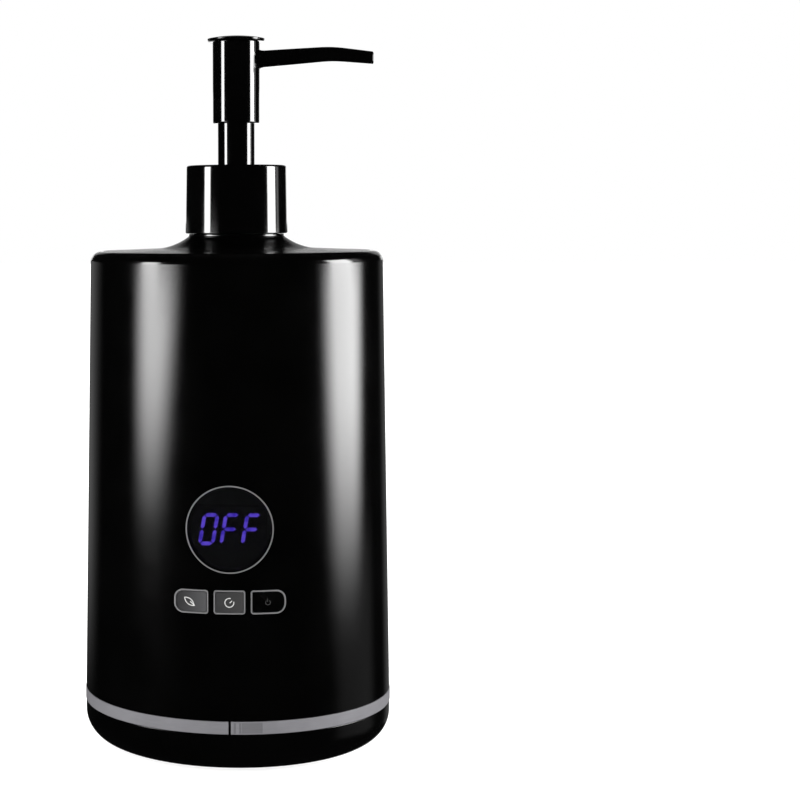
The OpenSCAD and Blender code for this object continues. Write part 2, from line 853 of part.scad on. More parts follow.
module control_board() {
    color([0.05, 0.25, 0.12]) difference() {
        from_front(board_y - board_t, board_y)
            translate([-board_w / 2, board_mid_z - board_h / 2]) square([board_w, board_h]);
        at_board_holes() translate([0, 0, -board_t - over])
            cylinder(r = board_screw_r + hole_play, h = board_t + 2 * over);
    }
}

module tact_switches() {
    color([0.12, 0.12, 0.13]) for (x = key_centres) difference() {
        from_front(board_y, board_y + switch_t)
            translate([x - switch_w / 2, key_z - switch_w / 2]) square(switch_w);
        from_front(board_y + switch_t - switch_sink, board_y + switch_t + over)
            translate([x, key_z]) circle(r = switch_stem_r + slide_gap);
    }
}

// Screw whose head rests on z = 0, with its shank pointing along +Z
module board_screw() {
    translate([0, 0, -board_screw_head_t]) cylinder(r = board_screw_head_r, h = board_screw_head_t);
    cylinder(r = board_screw_r - thread_bite - push_gap, h = board_t + board_screw_l - over / 2);
}

module board_screws() {
    color([0.7, 0.7, 0.72]) {
        at_board_holes() translate([0, 0, -board_t]) board_screw();
        at_standoffs() translate([0, 0, power_z + board_t]) mirror([0, 0, 1]) board_screw();
    }
}

// Keys

module key_frame(i) {
    color([0.75, 0.75, 0.75]) difference() {
        union() {
            on_front(frame_stand, -back_z - flange_back_t) key_outline(i, 0);
            on_front(-back_z, -back_z - flange_back_t) key_outline(i, frame_lip);
        }
        from_front(body_r_low / 2, body_r_low + over) key_outline(i, -key_frame_w);
    }
}

module key_cap(i, tint) {
    stem_end = board_y + switch_t + switch_stem_l;
    color(tint) {
        on_front(key_stand, -key_lip_z - key_lip_t) key_outline(i, -key_frame_w - key_slot_gap);
        on_front(-key_lip_z, -key_lip_z - key_lip_t) key_outline(i, key_lip - key_frame_w);
        from_front(stem_end, chord(key_inner_r + key_lip_t / 2, key_centres[i]))
            translate([key_centres[i], key_z]) circle(r = post_r);
    }
}

module switch_stem(i) {
    top = board_y + switch_t + switch_stem_l;
    color([0.1, 0.1, 0.1])
        from_front(top - switch_stem_l - switch_sink + key_travel + slide_gap, top)
        translate([key_centres[i], key_z]) circle(r = switch_stem_r);
}

// Heating cup

module heating_cup() {
    color([0.78, 0.79, 0.8]) {
        tube(cup_r, cup_out_r, cup_z, cup_top_z - cup_z);
        translate([0, 0, cup_z]) cylinder(r = cup_out_r, h = cup_wall);
        tube(cup_r, flange_r, cup_top_z - cup_wall, cup_wall);
    }
}

module heater_band() {
    color([0.75, 0.35, 0.1]) tube(heater_r, heater_r + heater_t, heater_z, heater_h);
}

module insulation_sleeve() {
    color([0.85, 0.83, 0.78])
        tube(insulation_r, insulation_r + insulation_t, insulation_z, insulation_top_z - insulation_z);
}

module thermal_cutout() {
    tab = cutout_tab;
    body_z = cup_z - cutout_cap_h - cutout_body_h;
    color([0.15, 0.14, 0.13]) {
        translate([0, 0, cup_z - cutout_cap_h]) cylinder(r = cutout_cap_r, h = cutout_cap_h);
        translate([0, 0, body_z]) cylinder(r = cutout_body_r, h = cutout_body_h);
        for (s = [-1, 1]) translate([s * cutout_tab_x - tab[0] / 2, -tab[1] / 2, body_z - tab[2]]) cube(tab);
    }
}

module temperature_sensor() {
    color([0.8, 0.7, 0.5]) translate([0, cutout_cap_r + 2 * sensor_r, cup_z - sensor_h])
        cylinder(r = sensor_r, h = sensor_h);
}

module cup_cradle() {
    color([0.2, 0.2, 0.2]) difference() {
        union() {
            tube(cradle_hole_r, cradle_plate_r, cup_z - cradle_t, cradle_t);
            tube(cradle_rim_r, cradle_rim_r + cradle_rim_t, cup_z - over, cradle_rim_h + over);
            at_cradle_legs() translate([0, 0, floor_z])
                cylinder(r = cradle_leg_r, h = cup_standoff - cradle_t + over);
        }
        at_cradle_legs() translate([0, 0, floor_z - over])
            cylinder(r = cradle_peg_r + slide_gap, h = cradle_peg_h + fit_gap + over);
    }
}

module cup_seal() {
    color([0.7, 0.7, 0.68]) tube(mouth_r + seal_inset, flange_r - seal_inset, cup_top_z, cup_seal_t);
}

module bottle_pad() {
    color([0.7, 0.7, 0.68]) translate([0, 0, cup_z + cup_wall]) cylinder(r = cup_r - pad_inset, h = pad_t);
}

// Power board and inlet

module power_board() {
    color([0.05, 0.25, 0.12]) difference() {
        translate([-power_board_l / 2, -power_board_w / 2, power_z])
            cube([power_board_l, power_board_w, board_t]);
        at_standoffs() translate([0, 0, power_z - over])
            cylinder(r = board_screw_r + hole_play, h = board_t + 2 * over);
    }
}

module filter_capacitor() {
    color([0.1, 0.1, 0.25]) translate([-capacitor_x, 0, power_z + board_t])
        cylinder(r = capacitor_r, h = capacitor_h);
}

module heater_relay() {
    color([0.1, 0.25, 0.55]) translate([relay_x, -relay_size[1] / 2, power_z + board_t]) cube(relay_size);
}

// Bezel in the housing's back, with the flange and ribs that hold the socket behind it
module inlet_bezel() {
    color([0.03, 0.03, 0.03]) difference() {
        union() {
            from_back(inlet_pad_y, bezel_face_y) bezel_outline(0);
            from_back(inlet_pad_y, bezel_seat_y)
                translate([-bezel_flange_w / 2, inlet_z - bezel_flange_w / 2]) square(bezel_flange_w);
            for (s = [-1, 1]) {
                from_back(inlet_pad_y - rib_l, bezel_seat_y)
                    translate([s * (socket_w / 2 + fit_gap + rib_t / 2) - rib_t / 2, inlet_z - socket_h / 2])
                    square([rib_t, socket_h]);
            }
        }
        from_back(inlet_pad_y - over, body_r_low + over) translate([0, inlet_z]) circle(r = inlet_r);
    }
}

module dc_socket() {
    color([0.08, 0.08, 0.08]) {
        difference() {
            from_back(inlet_pad_y - socket_l, inlet_pad_y)
                translate([-socket_w / 2, inlet_z - socket_h / 2]) square([socket_w, socket_h]);
            from_back(inlet_pad_y - socket_l + socket_end_t, inlet_pad_y + over)
                translate([0, inlet_z]) circle(r = socket_hole_r);
        }
        from_back(inlet_pad_y - socket_l + socket_end_t / 2, inlet_pad_y - socket_pin_sink)
            translate([0, inlet_z]) circle(r = socket_pin_r);
    }
}

// End of a lead over the power board's edge and down onto it, as distances from the middle and heights
function lead_end(edge) = concat(
    [for (t = [0 : 30 : 90]) [
        edge - lead_land + lead_sweep * (1 - sin(t)),
        power_z + board_t + lead_foot + lead_rise * cos(t)
    ]],
    [[edge - lead_land, power_z + board_t + push_gap]]
);

// Leads from the heater band, the inlet and the control board down to the power board
module heater_leads() {
    start = heater_r + heater_t + wire_r + slide_gap;
    outside = max(start + lead_clear, cradle_plate_r + wire_r + slide_gap);
    path = concat(
        [[start, insulation_z - lead_foot], [start, heater_z + heater_tail / 3]],
        [[outside, cup_z + lead_clear], [outside, lead_low_z]],
        lead_end(power_board_l / 2)
    );
    color([0.7, 0.1, 0.1]) for (s = [-1, 1]) wire([for (p = path) [-p[0], s * lead_pitch, p[1]]]);
}

module supply_leads() {
    start = inlet_pad_y - socket_l + lead_land;
    under = inlet_z - socket_h / 2 - push_gap;
    path = concat(
        [[start, under], [start, under - lead_clear], [start, lead_low_z]],
        lead_end(power_board_w / 2)
    );
    color([0.05, 0.05, 0.05]) for (s = [-1, 1]) wire([for (p = path) [s * lead_pitch, p[0], p[1]]]);
}

module control_leads() {
    start = board_y - board_t / 2;
    under = board_mid_z - board_h / 2 - push_gap;
    path = concat(
        [[start, under], [start, under - lead_clear], [start, lead_low_z]],
        lead_end(power_board_w / 2)
    );
    color([0.6, 0.6, 0.6]) for (i = [-1 : 1]) wire([for (p = path) [i * lead_pitch, -p[0], p[1]]]);
}

// Lid and bottle

module lid_section() {
    flare_top = lid_top_z + flare_r - sqrt(flare_r * flare_r - pow(flare_start_r - lid_neck_r, 2));
    difference() {
        polygon([
            [lid_bore_r, lid_tube_z], [lid_neck_r, lid_tube_z], [lid_neck_r, lid_top_z - lid_wall],
            [skirt_r - skirt_t, lid_top_z - lid_wall], [skirt_r - skirt_t, lid_under_z - skirt_h],
            [skirt_r, lid_under_z - skirt_h], [skirt_r, lid_under_z], [lid_r, lid_under_z],
            [lid_r, rim_z - lid_edge_round], [lid_r - lid_edge_round, rim_z],
            [flare_start_r, lid_top_z], [flare_start_r, flare_top], [lid_neck_r, flare_top],
            [lid_neck_r, lid_neck_z], [lid_bore_r, lid_neck_z]
        ]);
        translate([flare_start_r, lid_top_z + flare_r]) circle(r = flare_r);
    }
}

module top_lid() {
    color([0.03, 0.03, 0.03]) turned() lid_section();
}

module lid_gasket() {
    color([0.1, 0.1, 0.1])
        tube(mouth_r + lid_gasket_inset, lid_r - lid_gasket_inset, ledge_z, lid_under_z - ledge_z);
}

module drip_seal() {
    color([0.02, 0.02, 0.02]) {
        tube(drip_bore_r, drip_flange_r, lid_neck_z, drip_flange_t);
        tube(
            drip_bore_r, drip_bore_r + drip_sleeve_t, lid_neck_z - drip_sleeve_l,
            drip_sleeve_l + drip_flange_t / 2
        );
    }
}

// Half section of the bottle's body with its wall drawn in by an amount
module bottle_section(inset) {
    r = bottle_r - inset;
    low = bottle_foot_r - inset;
    high = bottle_shoulder_r - inset;
    z0 = bottle_z + inset;
    z1 = bottle_shoulder_z - inset;
    translate([0, z0]) square([r - low, low + over]);
    translate([0, z0 + low]) square([r, z1 - z0 - low - high]);
    translate([0, z1 - high - over]) square([r - high, high + over]);
    translate([r - low, z0 + low]) intersection() {
        circle(r = low);
        translate([0, -low]) square(low);
    }
    translate([r - high, z1 - high]) intersection() {
        circle(r = high);
        square(high);
    }
}

module oil_bottle() {
    color([0.92, 0.93, 0.92, 0.8]) {
        difference() {
            union() {
                turned() bottle_section(0);
                translate([0, 0, bottle_shoulder_z - over])
                    cylinder(r = neck_r, h = neck_top_z - bottle_shoulder_z + over);
                translate([0, 0, bead_z]) cylinder(r = bead_d / 2, h = bead_t);
            }
            turned() bottle_section(bottle_wall);
            translate([0, 0, bottle_shoulder_z - bottle_wall - over])
                cylinder(r = neck_bore_r, h = neck_top_z);
        }
        thread_ridge(
            neck_r - thread_root, thread_d / 2, neck_thread_base_w, neck_thread_crest_w,
            thread_z, thread_turns
        );
    }
}

// Pump

module pump_cylinder() {
    tube_r = dip_tube_r + push_gap;
    flow_r = dip_tube_r - dip_tube_wall;
    socket_z = dip_tube_top_z - tube_socket_h;
    color([0.88, 0.88, 0.88]) difference() {
        union() {
            translate([0, 0, pump_flange_z]) cylinder(r = neck_r - fit_gap, h = pump_flange_t);
            translate([0, 0, dip_tube_top_z]) cylinder(r = cylinder_r, h = cylinder_top_z - dip_tube_top_z);
            translate([0, 0, socket_z]) cylinder(r = tube_r + tube_socket_wall, h = tube_socket_h + over);
        }
        translate([0, 0, cylinder_floor_z]) cylinder(r = cylinder_bore_r, h = cylinder_top_z);
        translate([0, 0, dip_tube_top_z - over]) cylinder(r = flow_r, h = cylinder_floor_t + 2 * over);
        translate([0, 0, socket_z - over]) cylinder(r = tube_r, h = tube_socket_h + over);
    }
}

module neck_gasket() {
    color([0.9, 0.9, 0.88]) tube(cylinder_r + fit_gap, neck_r - fit_gap, neck_top_z, gasket_t);
}

module guide_ring() {
    color([0.1, 0.1, 0.1])
        tube(stem_r + slide_gap, cylinder_bore_r - push_gap, cylinder_top_z - guide_h, guide_h);
}

module inlet_ball() {
    seat_h = chord(ball_r, dip_tube_r - dip_tube_wall);
    color([0.8, 0.8, 0.82]) translate([0, 0, cylinder_floor_z + seat_h + push_gap]) sphere(r = ball_r);
}

module dip_tube() {
    color([0.9, 0.9, 0.9])
        tube(dip_tube_r - dip_tube_wall, dip_tube_r, dip_tube_z, dip_tube_top_z - dip_tube_z);
}

// Centre line of the return spring between the cylinder's floor and the piston
spring_low = cylinder_floor_z + spring_wire_d / 2 + push_gap;
spring_high = piston_z - spring_wire_d / 2 - push_gap;
function spring_point(i) =
    let (a = 360 * i / spring_rings, t = i / (spring_turns * spring_rings))
    [spring_r * cos(a), spring_r * sin(a), spring_low + (spring_high - spring_low) * t];

module return_spring() {
    color([0.75, 0.75, 0.78])
        wire([for (i = [0 : spring_turns * spring_rings]) spring_point(i)], spring_wire_d / 2, spring_sides);
}

module pump_collar() {
    low_r = collar_d_low / 2;
    high_r = collar_d_high / 2;
    edge = collar_edge;
    facet = edge * collar_edge_share;
    color([0.02, 0.02, 0.02]) {
        difference() {
            turned() polygon([
                [0, collar_z], [low_r - edge / 2, collar_z], [low_r, collar_z + edge / 2],
                [high_r, collar_top_z - edge], [high_r - facet, collar_top_z - facet],
                [high_r - edge, collar_top_z], [0, collar_top_z]
            ]);
            translate([0, 0, collar_z - over])
                cylinder(r = collar_bore_r, h = collar_h - collar_top_t + over);
            translate([0, 0, collar_z]) cylinder(r = stem_r + stem_hole_gap, h = collar_h + over);
        }
        thread_ridge(
            collar_bore_r + thread_root, collar_thread_r, collar_thread_base_w, collar_thread_crest_w,
            thread_z - thread_pitch / 2, collar_thread_turns
        );
    }
}

module pump_stem() {
    color([0.02, 0.02, 0.02])
        tube(stem_r - stem_wall, stem_r, stem_z, head_z + head_socket_l - slide_gap - stem_z);
}

module piston_seal() {
    color([0.85, 0.85, 0.83]) difference() {
        union() {
            translate([0, 0, piston_z]) cylinder(r = cylinder_bore_r - slide_gap, h = piston_h);
            translate([0, 0, stem_z - over])
                cylinder(r = stem_r - stem_wall - push_gap, h = piston_neck_h + over);
        }
        translate([0, 0, piston_z - over])
            cylinder(r = piston_hole_r, h = piston_h + piston_neck_h + 2 * over);
    }
}

// Centre line of the spout, with its bend eased by a parabola
function spout_centre(x) =
    let (
        up = spout_rise / (spout_bend_x - spout_root_x),
        down = spout_fall / (spout_reach - spout_bend_x),
        from_bend = x - spout_bend_x,
        eased = max(spout_ease - abs(from_bend), 0)
    )
    spout_z + spout_rise + (from_bend < 0 ? up : -down) * from_bend
        - (up + down) * eased * eased / (4 * spout_ease);

// Ring of the spout at a share of its length, as a rounded box across the spout
function spout_ring(t) =
    let (
        x = spout_root_x + t * (spout_reach - spout_root_x),
        w = spout_root_w + t * (spout_tip_w - spout_root_w),
        h = spout_root_h + pow(t, spout_taper) * (spout_tip_h - spout_root_h)
    )
    [for (k = [0 : spout_sides - 1])
        let (
            a = 360 * k / spout_sides,
            across = sign(cos(a)) * pow(abs(cos(a)), spout_roundness),
            up = sign(sin(a)) * pow(abs(sin(a)), spout_roundness)
        )
        [x, w / 2 * across, spout_centre(x) + h / 2 * up]];

module head_section() {
    flange_r = head_flange_d / 2;
    bevel = head_flange_t * head_bevel_share;
    flange_z = head_top_z + head_flange_t;
    dome_r = (flange_r * flange_r + head_dome_h * head_dome_h) / (2 * head_dome_h);
    polygon([
        [0, head_z], [head_r - head_edge_r, head_z], [head_r, head_z + head_edge_r],
        [head_r, head_top_z], [flange_r - bevel, head_top_z], [flange_r, head_top_z + bevel],
        [flange_r, flange_z], [0, flange_z]
    ]);
    intersection() {
        translate([0, flange_z + head_dome_h - dome_r]) circle(r = dome_r);
        translate([0, flange_z - head_dome_h / 2]) square([flange_r, head_dome_h * 2]);
    }
}

// Channel from the pump's axis to the spout's tip
module spout_channel() {
    step = (spout_reach + over) / spout_steps;
    path = [for (i = [0 : spout_steps]) [i * step, 0, spout_centre(max(i * step, spout_root_x))]];
    wire(path, spout_bore_r, spout_bore_sides);
}

module pump_head() {
    color([0.02, 0.02, 0.02]) difference() {
        union() {
            turned() head_section();
            loft([for (i = [0 : spout_steps]) spout_ring(i / spout_steps)]);
        }
        translate([0, 0, head_z - over]) cylinder(r = stem_r + push_gap, h = head_socket_l + over);
        translate([0, 0, head_z]) cylinder(r = spout_bore_r, h = spout_z - head_z);
        spout_channel();
    }
}

housing_shell();
housing_columns();
trim_ring();
base_tub();
base_feet();
base_screws();
display_lens();
display_ring();
display_digits();
led_module();
control_board();
tact_switches();
board_screws();
key_frame(0);  // key_frame_left
key_frame(1);  // key_frame_middle
key_frame(2);  // key_frame_right
heating_cup();
heater_band();
insulation_sleeve();
thermal_cutout();
temperature_sensor();
cup_cradle();
cup_seal();
bottle_pad();
power_board();
filter_capacitor();
heater_relay();
inlet_bezel();
dc_socket();
heater_leads();
supply_leads();
control_leads();
key_cap(0, [0.2, 0.2, 0.21]);  // key_left
switch_stem(0);  // switch_stem_left
key_cap(1, [0.18, 0.18, 0.18]);  // key_middle
switch_stem(1);  // switch_stem_middle
key_cap(2, [0.03, 0.03, 0.03]);  // key_right
switch_stem(2);  // switch_stem_right
top_lid();
lid_gasket();
drip_seal();
oil_bottle();
pump_cylinder();
neck_gasket();
guide_ring();
inlet_ball();
dip_tube();
return_spring();
pump_collar();
pump_stem();
piston_seal();
pump_head();
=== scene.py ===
import json
import math

import bmesh
import bpy
from mathutils import Matrix, Vector


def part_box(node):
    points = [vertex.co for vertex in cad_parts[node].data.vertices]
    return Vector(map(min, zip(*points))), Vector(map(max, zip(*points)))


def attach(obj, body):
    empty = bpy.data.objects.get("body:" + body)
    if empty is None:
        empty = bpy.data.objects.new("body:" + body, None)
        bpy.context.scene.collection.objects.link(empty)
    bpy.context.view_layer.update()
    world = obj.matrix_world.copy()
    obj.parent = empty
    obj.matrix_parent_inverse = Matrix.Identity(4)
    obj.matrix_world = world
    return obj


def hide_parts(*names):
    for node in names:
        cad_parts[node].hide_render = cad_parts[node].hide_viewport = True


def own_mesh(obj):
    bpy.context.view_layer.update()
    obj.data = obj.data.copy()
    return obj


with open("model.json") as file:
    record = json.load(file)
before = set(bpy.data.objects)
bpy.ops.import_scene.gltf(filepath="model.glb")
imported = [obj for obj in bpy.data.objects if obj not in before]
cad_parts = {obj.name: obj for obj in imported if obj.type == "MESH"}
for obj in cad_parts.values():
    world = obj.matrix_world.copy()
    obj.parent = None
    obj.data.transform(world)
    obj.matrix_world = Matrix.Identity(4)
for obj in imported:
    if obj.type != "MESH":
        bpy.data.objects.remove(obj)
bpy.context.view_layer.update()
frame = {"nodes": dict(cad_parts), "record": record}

scene = bpy.context.scene
MM = 0.001

# Sizes in millimetres; those that the solids have are as in the part's source
BODY_LOW_R, BODY_HIGH_R = 51.9, 49.3
SHELL_Z, SHOULDER_Z, RIM_Z = 18.2, 163.0, 166.5
SHELL_WALL = 2.2
SHOULDER_R = 3.5
RIM_R, LEDGE_Z, LEDGE_UNDER_Z, MOUTH_R = 45.05, 163.5, 161.3, 33.66
BASE_Z, RING_Z, BASE_CORNER_R, BASE_WALL = 0.8, 14.0, 9.7, 2.4
SPIGOT_R, SPIGOT_TOP_Z = 49.5, 24.7
RING_R, RING_IN_R, RING_CHAMFER, RING_GAP = 52.05, 49.7, 0.35, 0.8
RING_TONGUE, RING_RIBS = (3.7, 10.4), ((0.8, 1.7), (2.4, 3.3))  # stretches along the ring from its gap
RING_SINK, TONGUE_EDGE, RIB_EDGE = 0.08, 0.1, 0.12
FOOT_R, FOOT_T, FOOT_CIRCLE_R = 5.0, 1.8, 32.0
FOOT_DISH, FOOT_LIP, FOOT_SLOPE = 0.15, 1.4, 0.2
SCREW_CIRCLE_R, SCREW_POCKET_R, SCREW_POCKET_Z = 42.66, 3.0, 5.4
LID_R, LID_UNDER_Z, LID_TOP_Z, LID_NECK_R, LID_NECK_Z = 44.7, 164.3, 167.2, 16.3, 171.4
FLARE_START_R, FLARE_R, LID_BORE_R, LID_TUBE_Z, LID_T = 28.3, 20.0, 14.35, 165.5, 2.0
SKIRT_R, SKIRT_T, SKIRT_Z = 33.26, 1.8, 161.6
DRIP_BORE_R, DRIP_R, DRIP_TOP_Z, DRIP_LOW_Z, DRIP_SLEEVE_R = 13.85, 16.05, 172.2, 167.4, 14.3
COLLAR_LOW_R, COLLAR_HIGH_R, COLLAR_Z, COLLAR_TOP_Z = 17.2, 16.85, 172.3, 195.1
COLLAR_BORE_R, COLLAR_TOP_T, STEM_HOLE_R = 14.4, 1.9, 6.55
STEM_R, STEM_WALL = 6.2, 1.6
SPRING_WIRE_R, SPRING_TURNS, PUMP_STROKE = 0.45, 7, 13.0
WIRE_SIDES, TURN_STEPS = 12, 24
HEAD_R, HEAD_Z, HEAD_TOP_Z, FLANGE_R, FLANGE_T, DOME_H = 7.85, 209.1, 236.2, 9.6, 1.2, 1.0
SOCKET_R, SOCKET_L = 6.25, 14.0
SPOUT_ROOT_X, SPOUT_TIP_X, SPOUT_BEND_X, SPOUT_Z = 5.85, 45.9, 32.2, 230.3
SPOUT_RISE, SPOUT_FALL, SPOUT_EASE = 1.7, 1.5, 4.0
SPOUT_ROOT_W, SPOUT_TIP_W, SPOUT_ROOT_H, SPOUT_TIP_H = 5.6, 4.2, 5.7, 4.2
SPOUT_CORNER, SPOUT_THINNING, SPOUT_SECTIONS = 0.34, 1.4, 44  # corner as a share of the section
SPOUT_SWELL, SWELL_END, SWELL_RUN = 0.16, 1.6, 1.8  # share added to the height beside the head
SPOUT_TIP_ROUND, SPOUT_BORE_R, SPOUT_BORE_L, SPOUT_BORE_OVER = 0.5, 1.2, 6.0, 2.0
DISPLAY_Z, WINDOW_R = 79.5, 14.0
KEY_Z, KEY_H, KEY_STAND = 56.4, 7.6, 0.3
KEYS = (  # body, centre, width, radius of the left corners, radius of the right corners
    ("left_key", -12.25, 11.0, 3.0, 0.9),
    ("middle_key", 0.0, 10.0, 0.9, 0.9),
    ("right_key", 12.25, 11.0, 0.9, 3.0),
)
INLET_Z, BEZEL_W, BEZEL_CORNER_R = 34.0, 12.4, 2.5
PUSH_GAP = 0.05
LENS_R, LENS_T, LENS_MARGIN = 13.55, 2.2, 2.0
ICON_LINE, ICON_STAND = 0.27, 0.06
CUT_NEAR, CUT_FAR, CUT_UNDER_Z = 40.0, 60.0, -1.0  # reach of cuts through the wall, foot of cuts in the base
STEPS, FINE_STEPS, DISC_STEPS = 384, 96, 128  # faces round large and small turned pieces, and round discs
NEAR = 1e-5  # metres within which a vertex counts as being on a line


def shell_r(z):
    """Outer radius of the housing at a height."""
    return BODY_LOW_R + (BODY_HIGH_R - BODY_LOW_R) * (z - SHELL_Z) / (SHOULDER_Z - SHELL_Z)


# Camera, looking a little down and shifted as in the photograph

CAMERA_AZIMUTH = math.radians(2.8)
CAMERA_DISTANCE, CAMERA_HEIGHT = 0.6553, 0.1798
CAMERA_DOWN, CAMERA_LEAN, CAMERA_TURN = math.radians(4.3), math.radians(0.29), math.radians(2.085)

view = bpy.data.cameras.new("photo_camera")
view.lens, view.sensor_width = 87.01, 36.0
view.shift_x, view.shift_y = 0.2927, -0.054
camera = bpy.data.objects.new("photo_camera", view)
camera.location = (
    CAMERA_DISTANCE * math.sin(CAMERA_AZIMUTH), -CAMERA_DISTANCE * math.cos(CAMERA_AZIMUTH), CAMERA_HEIGHT)
camera.rotation_euler = (math.pi / 2 - CAMERA_DOWN, CAMERA_LEAN, CAMERA_AZIMUTH + CAMERA_TURN)
scene.collection.objects.link(camera)
scene.camera = camera
scene.view_settings.view_transform = "Standard"


# Studio

def math_node(tree, operation, first, second=None, third=None, clamp=False):
    node = tree.nodes.new("ShaderNodeMath")
    node.operation, node.use_clamp = operation, clamp
    for socket, value in zip(node.inputs, (first, second, third)):
        if isinstance(value, bpy.types.NodeSocket):
            tree.links.new(value, socket)
        elif value is not None:
            socket.default_value = value
    return node.outputs[0]


def eased(tree, value, end):
    """Smooth rise from 0 to 1 while the value goes from 0 to an end."""
    node = tree.nodes.new("ShaderNodeMapRange")
    node.interpolation_type = "SMOOTHSTEP"
    tree.links.new(value, node.inputs["Value"])
    node.inputs["From Max"].default_value = end
    return node.outputs["Result"]


def softbox(name, azimuth, distance, low, high, width, radiance, side=0.0, foot=0.0, taper=(0.0, 0.0)):
    """Upright lit panel that faces the object's axis; lengths in metres, azimuth as for the camera.

    Its light fades out over a share of its width towards either side, and of its height towards its foot.
    A taper takes a share of its width off either side at the foot.
    """
    light = bpy.data.lights.new(name, "AREA")
    light.shape, light.size, light.size_y = "RECTANGLE", width, high - low
    light.energy = radiance * math.pi * width * (high - low)
    lamp = bpy.data.objects.new(name, light)
    a = math.radians(azimuth)
    lamp.location = (distance * math.sin(a), -distance * math.cos(a), (low + high) / 2)
    lamp.rotation_euler = (math.pi / 2, 0, a)
    lamp.visible_camera = False
    scene.collection.objects.link(lamp)
    if side or foot:
        light.use_nodes = True
        tree = light.node_tree
        parts = tree.nodes.new("ShaderNodeSeparateXYZ")
        tree.links.new(tree.nodes.new("ShaderNodeNewGeometry").outputs["Parametric"], parts.inputs[0])
        down = math_node(tree, "SUBTRACT", 1.0, parts.outputs["Y"])
        ways = parts.outputs["X"], math_node(tree, "SUBTRACT", 1.0, parts.outputs["X"])
        inwards = [
            math_node(tree, "SUBTRACT", way, math_node(tree, "MULTIPLY", down, share))
            for way, share in zip(ways, taper)]
        across = eased(tree, math_node(tree, "MINIMUM", *inwards), side)
        strength = math_node(tree, "MULTIPLY", across, eased(tree, parts.outputs["Y"], max(foot, 0.001)))
        tree.links.new(strength, tree.nodes["Emission"].inputs["Strength"])
    return lamp


# Heights where lower panels meet upper ones; at the sides the housing mirrors the lower, the pump the upper
LEFT_SPLIT, RIGHT_SPLIT, REAR_SPLIT = 0.173, 0.170, 0.30
SIDE_AWAY, REAR_AWAY = 0.9, 1.3

softbox(
    "left_low_softbox", -59.2, SIDE_AWAY, -0.045, LEFT_SPLIT, 0.816, 8.3,
    side=0.39, foot=0.68, taper=(0.0, 0.29))
softbox("left_high_softbox", -66, SIDE_AWAY, LEFT_SPLIT, 0.423, 0.285, 11.0, side=0.15)
softbox(
    "right_low_softbox", 91.8, SIDE_AWAY, -0.116, RIGHT_SPLIT, 0.885, 9.8,
    side=0.35, foot=0.71, taper=(0.11, 0.10))
softbox("right_high_softbox", 89.2, SIDE_AWAY, RIGHT_SPLIT, 0.563, 0.425, 12.0, side=0.12)
softbox("right_tail_softbox", 109, SIDE_AWAY, RIGHT_SPLIT, 0.563, 0.20, 0.8, side=0.4)
softbox("right_foot_softbox", 101, SIDE_AWAY, -0.5, -0.05, 0.9, 0.10, side=0.3, foot=0.7)
softbox("back_softbox", 180, 1.1, -0.7, 0.16, 0.62, 2.6, side=0.5, foot=0.25)
softbox("rear_softbox", 180, REAR_AWAY, 0.17, REAR_SPLIT, 1.0, 1.35)
softbox("rear_top_softbox", 180, REAR_AWAY, REAR_SPLIT, 0.6, 1.0, 0.35)
softbox("rear_left_softbox", -148, 1.2, -0.3, 0.18, 1.2, 0.18, side=0.5, foot=0.45)
softbox("rear_right_softbox", 158, 1.2, -0.4, 0.18, 0.7, 0.11, side=0.5)

AMBIENT, SEEN_WHITE, MIRRORED = 1.4, 1.0, 0.006  # the room as it lights the object, is seen and is mirrored
world = bpy.data.worlds.new("studio")
world.use_nodes = True
scene.world = world
tree = world.node_tree
tree.nodes.clear()
out = tree.nodes.new("ShaderNodeOutputWorld")
path = tree.nodes.new("ShaderNodeLightPath")


def background(strength):
    node = tree.nodes.new("ShaderNodeBackground")
    node.inputs["Color"].default_value = (1, 1, 1, 1)
    node.inputs["Strength"].default_value = strength
    return node


by_gloss = tree.nodes.new("ShaderNodeMixShader")
tree.links.new(path.outputs["Is Glossy Ray"], by_gloss.inputs[0])
tree.links.new(background(AMBIENT).outputs[0], by_gloss.inputs[1])
tree.links.new(background(MIRRORED).outputs[0], by_gloss.inputs[2])
by_sight = tree.nodes.new("ShaderNodeMixShader")
tree.links.new(path.outputs["Is Camera Ray"], by_sight.inputs[0])
tree.links.new(by_gloss.outputs[0], by_sight.inputs[1])
tree.links.new(background(SEEN_WHITE).outputs[0], by_sight.inputs[2])
tree.links.new(by_sight.outputs[0], out.inputs["Surface"])


# Shared effects

def effect(name, inputs, outputs):
    """Empty shader group with a position input, and its input and output nodes."""
    made = bpy.data.node_groups.new(name, "ShaderNodeTree")
    made.interface.new_socket(name="Position", in_out="INPUT", socket_type="NodeSocketVector")
    for label, value in inputs:
        socket = made.interface.new_socket(name=label, in_out="INPUT", socket_type="NodeSocketFloat")
        socket.default_value = value
    for label in outputs:
        made.interface.new_socket(name=label, in_out="OUTPUT", socket_type="NodeSocketFloat")
    return made, made.nodes.new("NodeGroupInput"), made.nodes.new("NodeGroupOutput")


def noise(tree, position, scale, detail, roughness=0.55):
    node = tree.nodes.new("ShaderNodeTexNoise")
    node.inputs["Detail"].default_value = detail
    node.inputs["Roughness"].default_value = roughness
    tree.links.new(position, node.inputs["Vector"])
    if isinstance(scale, bpy.types.NodeSocket):
        tree.links.new(scale, node.inputs["Scale"])
    else:
        node.inputs["Scale"].default_value = scale
    return node.outputs[0]


def spread(tree, value, low, high):
    """The value stretched from low..high to 0..1."""
    node = tree.nodes.new("ShaderNodeMapRange")
    tree.links.new(value, node.inputs["Value"])
    node.inputs["From Min"].default_value = low
    node.inputs["From Max"].default_value = high
    return node.outputs["Result"]


